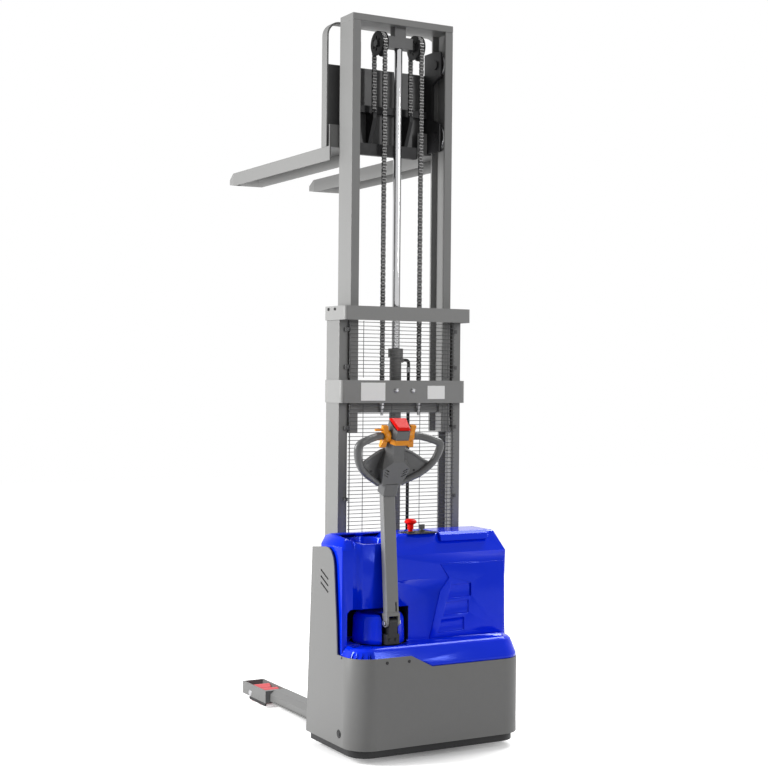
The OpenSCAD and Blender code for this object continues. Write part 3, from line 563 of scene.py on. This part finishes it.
def lathe(loop, centre, sides=64):
    """A closed loop of (radius, x) turned round the X axis through the centre."""
    loop = np.asarray(loop, float)
    a = np.arange(sides) * TAU / sides
    pts = np.zeros((len(loop), sides, 3))
    pts[..., 0] = loop[:, 1:]
    pts[..., 1] = loop[:, :1] * np.cos(a)
    pts[..., 2] = loop[:, :1] * np.sin(a)
    faces = grid_faces(len(loop), sides, wrap_rows=True, wrap_cols=True)
    return (pts + centre).reshape(-1, 3), faces.tolist()


DISH_DRAFT, DISH_RIM = 0.002, 2.2


def wheel_loop(outer, half, bore, shoulder, crown=0.0, recess=0.0, hub=0.0):
    """Half section of a wheel: bore, side, rounded shoulder and a tread, higher by crown in its middle."""
    outer -= crown
    a = np.linspace(0, TAU / 4, 6)
    edge = np.stack([outer - shoulder + shoulder * np.sin(a), half - shoulder + shoulder * np.cos(a)], -1)
    x = np.linspace(half - shoulder, shoulder - half, 9)[1:-1]
    tread = np.stack([outer + crown * (1 - (x / half) ** 2), x], -1)
    side = [[bore, half]]
    if recess:
        rim, deep = outer - DISH_RIM * shoulder, half - recess
        side += [[hub, half], [hub + DISH_DRAFT, deep], [rim - DISH_DRAFT, deep], [rim, half]]
    side = np.array(side)
    return np.concatenate([side, edge, tread, edge[::-1] * [1, -1], side[::-1] * [1, -1]])


# Chains, in millimetres from the mast's face

CHAIN_PITCH = 12.7
PLATE_SETS = ((-6.2, -2.1, 2.1, 6.2), (-8.2, -4.15, 0.0, 4.15, 8.2))
PLATE_END, PLATE_WAIST, PLATE_THICK = 5.6, 3.4, 1.9
PIN_RADIUS, PIN_HALF = 2.3, 9.4
WAIST = ((PLATE_END, 0.76), (PLATE_WAIST, 0.62), (PLATE_WAIST, 0.38), (PLATE_END, 0.24))
# Areas by which the sunk waists and their slopes are found for painted shade.
WAIST_AREA, SLOPE_AREA = PLATE_THICK * 0.24 * CHAIN_PITCH, PLATE_THICK * 2.84
BEND_LINKS = 12
CHAIN_HALF = 9.0


def chain_link(offsets, pitch, sides=8):
    """One link running up from the origin: side plates whose outline is a round end, a step in to the waist
    and a second round end, and the pin at the link's foot."""
    a = np.linspace(-TAU / 4, TAU / 4, 5)
    end = np.stack([PLATE_END * np.sin(a), PLATE_END * np.cos(a) + pitch], -1)
    step = np.array(WAIST) * [1, pitch]
    foot = np.stack([PLATE_END * np.sin(a[::-1]), -PLATE_END * np.cos(a[::-1])], -1)
    line = np.concatenate([end, step, foot, step[::-1] * [-1, 1]])
    pin = ring(PIN_RADIUS, sides)
    half = PLATE_THICK / 2
    slabs = [(x - half, x + half, line) for x in offsets] + [(-PIN_HALF, PIN_HALF, pin)]
    return join(*(capped(np.array([[[x, *q] for q in loop] for x in (x0, x1)]), 2, len(loop))
                  for x0, x1, loop in slabs))


def paint_link_shade(obj):
    """Paints shade on the links: a dark finish on the plates' flanks and on the waists that lie sunk between
    their ends.
    """
    area = face_values(obj, "area", 1)[:, 0] * 1e6
    flank = np.abs(face_values(obj, "normal")[:, 0]) > 0.9
    waist = (np.abs(area - WAIST_AREA) < 0.9) | (np.abs(area - SLOPE_AREA) < 0.3)
    second_finish(obj, "dark_iron", flank | waist)


def chain_run(x, y, z0, z1):
    """A straight run of leaf chain between two heights, its two kinds of link laid alternately."""
    count = int(round((z1 - z0) / CHAIN_PITCH))
    step = (z1 - z0) / count
    runs = []
    for kind in (0, 1):
        z = z0 + step * np.arange(kind, count, 2)
        places = np.stack([np.full(len(z), x), np.full(len(z), y), z], -1)
        runs.append(repeat(chain_link(PLATE_SETS[kind], step), places))
    return join(*runs)


def chain_bend(x, y, z, radius, count=BEND_LINKS):
    """Leaf chain laid over a half circle: each link is turned about X by its own share of the arc."""
    chord = 2 * radius * math.sin(math.pi / count / 2)
    parts = []
    for k in range(count):
        pts, faces = chain_link(PLATE_SETS[k % 2], chord)
        lean = math.pi / count * (k + 0.5)
        start = math.pi / count * k
        c, s = math.cos(lean), math.sin(lean)
        turn = np.array([[1, 0, 0], [0, c, s], [0, -s, c]])
        foot = np.array([x, y - radius * math.cos(start), z + radius * math.sin(start)])
        parts.append((pts @ turn.T + foot, faces))
    return join(*parts)


class STACKER_OT_chains(bpy.types.Operator):
    """Lays the leaf chains as plates and pins"""

    bl_idname = "stacker.chains"
    bl_label = "Leaf chains"

    def execute(self, context):
        front, rear = cad_box("chain_front"), cad_box("chain_rear")
        side = front[1][0] * 1000 - CHAIN_HALF
        fy, ry = (float(sum(b)[1]) / 2 * 1000 + MID * 1000 for b in (front, rear))
        low, top, foot = front[0][2] * 1000, front[1][2] * 1000, rear[0][2] * 1000
        runs = {"chain_front": (fy, low, top, "chassis", "inner_mast"),
                "chain_rear": (ry, foot, top, "inner_mast", "carriage")}
        for node, (y, z0, z1, a, b) in runs.items():
            shell = join(*(chain_run(s * side, y, z0, z1) for s in (-1, 1)))
            obj = mesh_object(node + " links", placed(shell, mast), 20)
            finish(obj, NODE_SLOT[node])
            # Painted shade on the links' flanks and sunk waists.
            paint_link_shade(obj)
            start, end = mast([0, y, z0]), mast([0, y, z1])
            if node == "chain_rear":
                start, end = end, start
            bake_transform(obj)
            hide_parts(node)
        bend = join(*(chain_bend(s * side, (fy + ry) / 2, top, (ry - fy) / 2) for s in (-1, 1)))
        # Painted shade on the links' flanks and sunk waists.
        paint_link_shade(stand_in("chain over pulleys", placed(bend, mast), "chain_wraps", smooth=20))
        return {"FINISHED"}


# Guard, with heights in millimetres, and hose, in millimetres from the mast's face

GUARD_PANELS = ((1527, 1751), (876, 1404))
WIRE_STEP = 16
UPRIGHTS = (-0.25, -0.187, -0.05, 0.087, 0.224, 0.25)
UPRIGHT_REACH = 0.006
CROSS_BACK, UPRIGHT_FORTH = 0.0006, 0.0008


def wire(a, b, radius, sides=8):
    """A round straight wire between two points."""
    t = np.asarray(b, float) - a
    side = [0.0, 0.0, 1.0] if abs(t[2]) < abs(t[0]) else [1.0, 0.0, 0.0]
    return carry(np.linspace(a, b, 2), ring(radius, sides), side)


class STACKER_OT_guard(bpy.types.Operator):
    """Weaves the mesh guard out of round wires and sets its clips"""

    bl_idname = "stacker.guard"
    bl_label = "Mesh guard"

    def execute(self, context):
        sizes = context.scene.stacker_look
        thin, rim = sizes.wire_radius, sizes.rim_wire_radius
        lo, hi = cad_box("wire_guard")
        y = (lo[1] + hi[1]) / 2
        back, forth = y - CROSS_BACK, y + UPRIGHT_FORTH
        parts = []
        for z0, z1 in GUARD_PANELS:
            for z in np.arange(z0, z1 + 1, WIRE_STEP) / 1000:
                parts.append(wire([lo[0], back, z], [hi[0], back, z], thin))
            foot, end = z0 / 1000 - UPRIGHT_REACH, z1 / 1000 + UPRIGHT_REACH
            for x in UPRIGHTS:
                size = rim if abs(x) == UPRIGHTS[-1] else thin
                parts.append(wire([x, forth, foot], [x, forth, end], size))
        stand_in("welded wires", join(*parts), "wire_guard", smooth=60, look="tube_paint")
        soften("guard_clips", 0.0008, look="tube_paint")
        return {"FINISHED"}


HOSE_TOP = [[37, 48, 1596], [50, 48, 1596], [59, 48, 1593], [64, 48, 1584], [64, 48, 1560]]
HOSE_FOOT = [[64, 48, 200], [64, 47, 160], [64, 43, 147], [64, 32, 140], [64, 10, 140], [64, -69, 140]]
FERRULE = [(7.4, -14), (8.6, -13), (8.6, -6), (7.9, -5.4), (7.9, -4), (8.6, -3.4), (8.6, 6), (7.4, 7)]


class STACKER_OT_hose(bpy.types.Operator):
    """Sweeps the pressure hose from the cylinder's port to the pump, and its ferrule"""

    bl_idname = "stacker.hose"
    bl_label = "Pressure hose"

    def execute(self, context):
        size = context.scene.stacker_look.hose_radius * 1000
        line = np.concatenate([smooth_path(HOSE_TOP, 40), smooth_path(HOSE_FOOT, 50)])
        hose = carry(line, ring(size, 20), [0.0, 1.0, 0.0])
        stand_in("pressure hose", placed(hose, mast), "hydraulic_hose", smooth=50)
        points = mast(revolve(FERRULE, HOSE_TOP[-1], [0, 0, 1], 24)).reshape(-1, 3)
        ferrule = points, grid_faces(len(FERRULE), 24, wrap_cols=True)
        extra("hose ferrule", ferrule, "chassis", "zinc_steel")
        return {"FINISHED"}


# Wheels and rollers

TREADS = {
    **{"load_roller_" + k: dict(bore=0.0102, shoulder=0.004, recess=0.004, hub=0.018)
       for k in ("lf", "lr", "rf", "rr")},
    "drive_tyre": dict(bore=0.0722, shoulder=0.006),
    "castor_wheel": dict(bore=0.0101, shoulder=0.006, crown=0.001, recess=0.006, hub=0.022),
}
CHANNEL_ROLLER = dict(bore=0.0142, shoulder=0.003, recess=0.002, hub=0.022)
INNER_SIDE = {"mast_rollers": 0.248, "rollers_upper": 0.206, "rollers_lower": 0.206}
PIN_SHAFT = [(0.010, -0.112)]
PLAIN_PIN = PIN_SHAFT + [(0.010, -0.0032), (0.0085, -0.0027), (0.0004, -0.0027)]
DOMED_PIN = PIN_SHAFT + [(0.010, -0.003), (0.015, -0.003), (0.015, -0.0019), (0.0135, -0.0008),
                         (0.010, -0.0004), (0.0004, -0.0004)]
LEG_PINS = (("lf", -1, DOMED_PIN), ("lr", -1, PLAIN_PIN), ("rf", 1, DOMED_PIN), ("rr", 1, PLAIN_PIN))
# Black strips of painted shade under the legs' ends: X of their left sides and their width, Y of their ends
# and their heights, in millimetres from the mast's face.
SHADE_STRIP_LEFTS, SHADE_STRIP_WIDE = (-275.5, 268.5), 7
SHADE_STRIP_ENDS, SHADE_STRIP_HEIGHTS = (744, 925), (7, 22.5)


class STACKER_OT_wheels(bpy.types.Operator):
    """Turns the tyres, rollers and leg pins, adds black strips of painted shade under the legs' ends and
    softens the hub, the fork and the pulleys
    """

    bl_idname = "stacker.wheels"
    bl_label = "Wheels and rollers"

    def execute(self, context):
        for node, shape in TREADS.items():
            lo, hi = cad_box(node)
            loop = wheel_loop((hi[2] - lo[2]) / 2, (hi[0] - lo[0]) / 2, **shape)
            stand_in(node + " tread", lathe(loop, (lo + hi) / 2), node, smooth=40)
        for node, inner in INNER_SIDE.items():
            lo, hi = cad_box(node)
            loop = wheel_loop((hi[2] - lo[2]) / 2, (hi[0] - inner) / 2, **CHANNEL_ROLLER)
            mid = (lo + hi) / 2
            both = [lathe(loop, [s * (hi[0] + inner) / 2, *mid[1:]]) for s in (-1, 1)]
            stand_in(node + " turned", join(*both), node, smooth=40)
        reach = cad_box("leg_axles")[1][0]
        places = {k: cad_mid("load_roller_" + k) for k, _, _ in LEG_PINS}
        pins = [turned(pin, [s * reach, *places[k][1:]], [s, 0, 0], 32) for k, s, pin in LEG_PINS]
        pins = stand_in("leg pins", join(*pins), "leg_axles")
        middle = (places["lf"][1] + places["lr"][1]) / 2
        # The pins on the operator's side take the grey darkened as painted shade, like the legs.
        second_finish(pins, "skirt_paint", face_values(pins, "center")[:, 1] < middle)
        # Black strips under the legs' ends, as painted shade where the rollers' lower halves lie in shadow.
        (y0, y1), (z0, z1) = SHADE_STRIP_ENDS, SHADE_STRIP_HEIGHTS
        shade_strips = [rounded_box(mast([x, y0, z0]), mast([x + SHADE_STRIP_WIDE, y1, z1]), 0.006, axis=0)
                 for x in SHADE_STRIP_LEFTS]
        extra("leg shade strips", join(*shade_strips), "chassis", "plinth_paint")
        for node in ("drive_hub", "castor_fork", "pulley_left", "pulley_right"):
            soften(node, 0.001)
        return {"FINISHED"}


# Head, in its own millimetres: across, out of its face and up along it

LOOP_LINE = [[68, 14, 270], [96, 9, 269.5], [126, -2, 266.5], [154, -12, 261], [173, -17, 254.5],
             [183, -18.5, 245], [186, -19, 232], [184, -18.7, 214], [179, -18, 194], [172, -17, 176],
             [163, -15.5, 160], [150, -13.2, 143], [134, -11, 127], [114, -7.5, 110.5], [92, -1, 95.5],
             [70, 5, 81.5], [50, 9, 69]]
LOW_LINE = [[40, 10, 67], [60, 7, 79], [80, 3, 89], [100, -3, 101], [120, -8.5, 113], [140, -12.5, 128],
            [155, -14.2, 142], [168, -15.5, 154]]
RIM_LINE = [[43, 23, 209], [60, 21, 204], [80, 15.5, 196], [100, 10, 186], [118, 5, 176], [134, 0, 168],
            [149, -7, 163], [168, -15, 161]]
GRIP_SWELL, SWELL_AT, SWELL_SPREAD = 1.4, 0.36, 0.14
GRIP_TAPER, TAPER_FROM, TAPER_OVER = 1.0, 0.6, 0.3
GRIP_OVAL = 0.96
SOCKET_STEPS = (2.0, 0.5)
WHEEL_PIN = [(8.0, -38.3), (8.0, -72)]
DISH_DEPTH, PLATE_HALF, BEAD = 5.0, 3.2, 6.2
SCREW_PLACE = np.array([98.0, 0.3, 125.0])
SCREW_SHAPE = [(4.2, -1.0), (4.2, 1.2), (3.4, 1.6), (0.4, 1.0)]


def handle_loop(size):
    """Right half of the handle: a bar of slowly changing oval section carried round the loop, the dished
    plate between its lower branch and the upper rim, a bead along that rim and the thumb wheels' pin."""
    path = smooth_path(LOOP_LINE, 120)
    s = np.linspace(0, 1, len(path))
    swell = GRIP_SWELL * np.exp(-(((s - SWELL_AT) / SWELL_SPREAD) ** 2))
    radii = size + swell - GRIP_TAPER * np.clip((s - TAPER_FROM) / TAPER_OVER, 0, 1)
    radii[:2] -= SOCKET_STEPS
    bar = carry(path, ring(1.0, 24)[None] * radii[:, None, None] * [1.0, GRIP_OVAL], [0.0, 1.0, 0.0])
    low, rim = smooth_path(LOW_LINE, 40), smooth_path(RIM_LINE, 40)
    v = np.linspace(0, 1, 14)[None, :, None]
    face = low[:, None] * (1 - v) + rim[:, None] * v
    face = face + np.sin(math.pi * v) * np.array([0.0, DISH_DEPTH, 0.0])
    half = np.array([0, PLATE_HALF, 0])
    rings = np.concatenate([face - half, (face + half)[:, ::-1]], 1)
    plate = capped(rings, 40, rings.shape[1])
    bead = carry(rim, ring(BEAD, 14), [0.0, 1.0, 0.0])
    pin = turned(WHEEL_PIN, THUMB_WHEEL, [-1, 0, 0], 24)
    return join(bar, plate, bead, pin)


class STACKER_OT_head(bpy.types.Operator):
    """Shapes the tiller's head: shell, handle loops, band, thumb wheels, end switch and rocker"""

    bl_idname = "stacker.head"
    bl_label = "Tiller head"

    def execute(self, context):
        right = handle_loop(context.scene.stacker_look.grip_radius * 1000)
        stand_in("handle loops", placed(join(right, mirrored(right)), head), "handle_frame", smooth=50)
        screws = join(*(turned(SCREW_SHAPE, SCREW_PLACE * [s, 1, 1], [0, -1, 0], 16) for s in (-1, 1)))
        extra("plate screws", placed(screws, head), "tiller", "plinth_paint")
        soften("head_shell", 0.0028, 3, 12)
        soften("head_band", 0.0012)
        soften("butterflies", 0.0016, angle=25)
        soften("belly_switch", 0.0004, 1, 40)
        soften("lift_rocker", 0.001)
        return {"FINISHED"}


class STACKER_OT_tiller(bpy.types.Operator):
    """Softens the tiller arm, its base, cover and pin, and the drive unit that it turns"""

    bl_idname = "stacker.tiller"
    bl_label = "Tiller arm and base"

    def execute(self, context):
        widths = {"tiller_base": 0.002, "base_cover": 0.0015, "pivot_pin": 0.0008, "drive_unit": 0.002}
        for node, width in widths.items():
            soften(node, width)
        soften("tiller_arm", 0.0012, join_flat=False)
        return {"FINISHED"}


# Dash, hood and skirt, in metres; heights of the stop button are counted down from its top

STOP_SIDE = ((0.0089, 0.045), (0.0125, 0.044), (0.0130, 0.024), (0.0215, 0.020), (0.0250, 0.0165),
             (0.0256, 0.0135), (0.0248, 0.0112))
STOP_WIDE, STOP_TALL = 0.024, 0.011
# Box round the steering cover, and the tilt below which the hood's faces in it get black painted shade.
POCKET_BELOW, POCKET_ABOVE, POCKET_TILT = 0.028, 0.012, 0.3
GAUZE_X, GAUZE_HALF = 0.3935, 0.0008
GAUZE_LOW, GAUZE_HIGH = (-0.140, 0.640), (-0.046, 0.756)
SCREW_SPOTS = ((-0.258, 0.401), (-0.158, 0.400))
SCREW_HEAD = [(0.0065, -0.001), (0.0065, 0.0012), (0.0052, 0.0026), (0.0030, 0.0033), (0.0004, 0.0035)]
BUNG_SPOT, STUD_SPOT = (-0.231, 0.110), (-0.249, 0.414)
BUNG_SHAPE = [(0.017, -0.001), (0.017, 0.0008), (0.0145, 0.0022), (0.0130, 0.0014), (0.0100, 0.0010),
              (0.0090, 0.0026), (0.0004, 0.0030)]
STUD_SHAPE = [(0.0055, -0.001), (0.0055, 0.0006), (0.0040, 0.0014), (0.0004, 0.0016)]


class STACKER_OT_controls(bpy.types.Operator):
    """Turns the mushroom stop button and softens the dash and the key"""

    bl_idname = "stacker.controls"
    bl_label = "Dash controls"

    def execute(self, context):
        lo, hi = cad_box("estop_button")
        mid, top = (lo + hi) / 2, hi[2]
        side = [(STOP_SIDE[0][0], lo[2])] + [(r, top - down) for r, down in STOP_SIDE]
        a = np.linspace(0, TAU / 4, 9)[1:]
        dome = [(STOP_WIDE * math.cos(t), top - STOP_TALL + STOP_TALL * math.sin(t)) for t in a]
        button = turned(side + dome, [mid[0], mid[1], 0], [0, 0, 1], 48)
        stand_in("stop button", button, "estop_button")
        soften("dash_panel", 0.0012)
        soften("ignition_key", 0.0006, look="tube_paint")
        return {"FINISHED"}


class STACKER_OT_covers(bpy.types.Operator):
    """Rounds the edges of the hood, its lid and the skirt, paints black shade on the hood's recess walls
    round the steering cover, and sets the gauze, the screws and the bung
    """

    bl_idname = "stacker.covers"
    bl_label = "Hood and skirt"

    def execute(self, context):
        hood = soften_by_weight("hood", 0.0025)
        lo, hi = cad_box("base_cover")
        # The hood's faces round the steering cover that don't face up get the black dash moulding as painted
        # shade.
        mid, tilt = face_values(hood, "center"), face_values(hood, "normal")[:, 2]
        shaded_pocket_walls = ((mid > lo - POCKET_BELOW) & (mid < hi + POCKET_ABOVE)).all(1) & (tilt < POCKET_TILT)
        second_finish(hood, "dash_plastic", shaded_pocket_walls)
        soften("battery_lid", 0.0025, 3)
        # The skirt takes the grey darkened as painted shade.
        soften("skirt", 0.0012, look="skirt_paint")
        (y0, z0), (y1, z1) = GAUZE_LOW, GAUZE_HIGH
        for side, x in (("left", -GAUZE_X), ("right", GAUZE_X)):
            vent = rounded_box((x - GAUZE_HALF, y0 - MID, z0), (x + GAUZE_HALF, y1 - MID, z1), 0.0005)
            extra("vent gauze " + side, vent, "chassis", "dark_iron")
        west, south = cad_box("skirt")[0][:2]
        heads = [turned(SCREW_HEAD, (x, south, z), [0, -1, 0], 20) for x, z in SCREW_SPOTS]
        extra("skirt screws", join(*heads), "chassis", "plinth_paint")
        bung, stud = (turned(shape, [west, y - MID, z], [-1, 0, 0], sides) for shape, (y, z), sides in
                      ((BUNG_SHAPE, BUNG_SPOT, 28), (STUD_SHAPE, STUD_SPOT, 16)))
        extra("skirt bung", join(bung, stud), "chassis", "plinth_paint")
        return {"FINISHED"}


# Mast, legs and forks

EDGES = {
    "chassis_frame": 0.0015, "leg_left": 0.003, "leg_right": 0.003, "outer_mast_left": 0.0025,
    "outer_mast_right": 0.0025, "upper_tie": 0.0015, "lower_tie": 0.0015, "lift_cylinder": 0.001,
    "chain_anchors": 0.0006, "label_plates": 0.0004, "tie_fasteners": 0.0004, "battery": 0.002,
    "hydraulic_unit": 0.002, "inner_mast_left": 0.0025, "inner_mast_right": 0.0025, "inner_ties": 0.0015,
    "piston_rod": 0.001, "crosshead": 0.0015, "backrest_frame": 0.0015, "backrest_plate": 0.001,
    "fork_left": 0.004, "fork_right": 0.004,
}
# Skirt, legs and lift cylinder take the grey darkened as painted shade, and the ties take the grey lightened
# as painted light.
OWN_LOOKS = {
    "lift_cylinder": "skirt_paint", "crosshead": "tube_paint", "backrest_plate": "tube_paint",
    "leg_left": "skirt_paint", "leg_right": "skirt_paint", "upper_tie": "tie_paint",
    "lower_tie": "tie_paint",
}
OUTER_BOLTS = 0.2


class STACKER_OT_structure(bpy.types.Operator):
    """Gives the mast, legs, carriage, forks and what is bolted to them their finishes and rounded edges"""

    bl_idname = "stacker.structure"
    bl_label = "Mast, legs and forks"

    def execute(self, context):
        for node, width in EDGES.items():
            soften(node, width, look=OWN_LOOKS.get(node))
        soften("carriage_frame", 0.0015, join_flat=False)
        bolts = NODES["tie_fasteners"]
        outer = np.abs(face_values(bolts, "center")[:, 0]) > OUTER_BOLTS
        second_finish(bolts, "plinth_paint", outer)
        return {"FINISHED"}


# Camera and stage

PHOTO_SIZE = 768
CAMERA_PLACE = (-3.0613, -5.8083, 1.5336)
CAMERA_YAW, CAMERA_PITCH, CAMERA_ROLL = 29.068, -0.367, 0.525
FOCAL_PX = 1461.45
SENSOR = 36.0
LAMPS = (
    ("key left", (-3.3, 0.4, 1.85), (0.0, -0.2, 1.9), (0.9, 1.8), 180),
    ("front strip", (2.4, -5.8, 3.6), (0.0, -0.4, 1.6), (0.5, 3.4), 108),
    ("top right", (3.0, 0.3, 4.7), (0.0, -0.5, 0.6), (2.4, 2.4), 200),
)
WHITE = (1, 1, 1, 1)
WORLD_LIGHT = 0.34
FLOOR_HALF = 14.0
FLOOR_TONE = 0.45
FLOOR_GLOW = 0.66
# Dips in the floor's glow; the wide one evens out the lamps' light round the truck, and the small one under
# the truck is a painted shadow.
GLOW_DIPS_AND_PAINTED_SHADOW = ((3.3, 0.0, 0.3), (0.55, -0.42, 0.6))


def matrix(x, y, z, place):
    """A 4x4 matrix from three axes and a place."""
    m = np.eye(4)
    m[:3, 0], m[:3, 1], m[:3, 2], m[:3, 3] = x, y, z, place
    return Matrix(m.tolist())


def looking(place, aim):
    """A matrix at the place whose -Z points at the aim."""
    z = unit(np.asarray(place, float) - np.asarray(aim, float))
    x = unit(np.cross([0.0, 0.0, 1.0], z)) if abs(z[2]) < 0.999 else np.array([1.0, 0.0, 0.0])
    return matrix(x, np.cross(z, x), z, place)


def plane(half):
    """A flat square on the floor."""
    corners = [[-half, -half, 0], [half, -half, 0], [half, half, 0], [-half, half, 0]]
    return np.array(corners), [[0, 1, 2, 3]]


def seen(tree):
    """One for rays from the camera, a mirror or a clear piece, and nought for the others."""
    path = shader(tree, "LightPath")
    either = sums(tree, "MAXIMUM", path.outputs["Is Camera Ray"], path.outputs["Is Glossy Ray"])
    return sums(tree, "MAXIMUM", either, path.outputs["Is Transmission Ray"])


def floor_material():
    """Pale floor whose glow makes it plain white in the picture. The glow is dimmed in a wide round patch
    and in a small one under the truck, given as reach, Y and depth: the wide one lets the lamps' contact
    shadow stay, and the small one is a painted shadow under and just round the truck."""
    made = bpy.data.materials.new("pale floor")
    made.use_nodes = True
    tree = made.node_tree
    shown = seen(tree)
    coords = shader(tree, "TexCoord").outputs["Object"]
    level = FLOOR_GLOW
    # The small dip paints a shadow under the truck.
    for reach, y, depth in GLOW_DIPS_AND_PAINTED_SHADOW:
        place = plug(tree, shader(tree, "Mapping"), Vector=coords, Location=(0, -y / reach, 0),
                     Scale=(1 / reach,) * 3)
        near = shader(tree, "TexGradient", gradient_type="SPHERICAL")
        plug(tree, near, Vector=place.outputs[0])
        level = sums(tree, "MULTIPLY_ADD", near.outputs["Fac"], -depth, level)
    plug(tree, tree.nodes["Principled BSDF"], Roughness=0.9, Specular_IOR_Level=0.0, Emission_Color=WHITE,
         Base_Color=sums(tree, "MULTIPLY_ADD", shown, 1 - FLOOR_TONE, FLOOR_TONE),
         Emission_Strength=sums(tree, "MULTIPLY", shown, level))
    return made


def studio_world(tree):
    """A white surround for the camera and for reflections, and a soft even light on the object."""
    tree.nodes.clear()
    light = plug(tree, shader(tree, "Background"), Color=WHITE, Strength=WORLD_LIGHT)
    surround = plug(tree, shader(tree, "Background"), Color=WHITE, Strength=1.0)
    mix = shader(tree, "MixShader")
    for socket, value in zip(mix.inputs, (seen(tree), light.outputs[0], surround.outputs[0])):
        tree.links.new(value, socket)
    tree.links.new(mix.outputs[0], shader(tree, "OutputWorld").inputs[0])


class STACKER_OT_stage(bpy.types.Operator):
    """Sets the pale floor, the white surround, the lamps and the camera"""

    bl_idname = "stacker.stage"
    bl_label = "Stage"

    def execute(self, context):
        scene = context.scene
        scene.view_settings.view_transform = "Standard"
        floor = mesh_object("floor", plane(FLOOR_HALF), 60)
        floor.data.materials.append(floor_material())
        world = bpy.data.worlds.new("studio")
        scene.world = world
        world.use_nodes = True
        studio_world(world.node_tree)
        for name, place, aim, size, power in LAMPS:
            lamp = bpy.data.lights.new(name, "AREA")
            lamp.shape = "RECTANGLE"
            lamp.size, lamp.size_y = size
            lamp.energy = power
            obj = bpy.data.objects.new(name, lamp)
            scene.collection.objects.link(obj)
            obj.matrix_world = looking(place, aim)
        cam = bpy.data.cameras.new("camera")
        cam.lens = FOCAL_PX * SENSOR / PHOTO_SIZE
        cam.sensor_width = SENSOR
        cam.clip_end = 100
        obj = bpy.data.objects.new("camera", cam)
        scene.collection.objects.link(obj)
        yaw, pitch, roll = (math.radians(v) for v in (CAMERA_YAW, CAMERA_PITCH, CAMERA_ROLL))
        ahead = np.array([math.sin(yaw) * math.cos(pitch), math.cos(yaw) * math.cos(pitch), math.sin(pitch)])
        level = np.array([math.cos(yaw), -math.sin(yaw), 0.0])
        above = np.cross(level, ahead)
        right = level * math.cos(roll) + above * math.sin(roll)
        up = above * math.cos(roll) - level * math.sin(roll)
        obj.matrix_world = matrix(right, up, -ahead, CAMERA_PLACE)
        scene.camera = obj
        return {"FINISHED"}


OPERATORS = (
    STACKER_OT_structure, STACKER_OT_covers, STACKER_OT_controls, STACKER_OT_guard, STACKER_OT_chains,
    STACKER_OT_hose, STACKER_OT_wheels, STACKER_OT_tiller, STACKER_OT_head, STACKER_OT_stage,
)


class STACKER_PT_pieces(bpy.types.Panel):
    """Lists the stacker's pieces in the sidebar"""

    bl_label = "Electric Stacker"
    bl_idname = "STACKER_PT_pieces"
    bl_space_type = "VIEW_3D"
    bl_region_type = "UI"
    bl_category = "Stacker"

    def draw(self, context):
        for name in StackerLook.__annotations__:
            self.layout.prop(context.scene.stacker_look, name)
        for op in OPERATORS:
            self.layout.operator(op.bl_idname)


CLASSES = (StackerLook, *OPERATORS, STACKER_PT_pieces)


def register():
    """Registers the classes and hangs the finishes on the scene."""
    for cls in CLASSES:
        bpy.utils.register_class(cls)
    bpy.types.Scene.stacker_look = bpy.props.PointerProperty(type=StackerLook)


def unregister():
    """Takes it all off again."""
    del bpy.types.Scene.stacker_look
    for cls in reversed(CLASSES):
        bpy.utils.unregister_class(cls)


def main():
    """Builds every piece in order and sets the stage."""
    register()
    make_finishes(bpy.context.scene.stacker_look)
    for op in OPERATORS:
        group, name = op.bl_idname.split(".")
        getattr(getattr(bpy.ops, group), name)()
    bpy.context.view_layer.update()


if __name__ == "__main__":
    main()
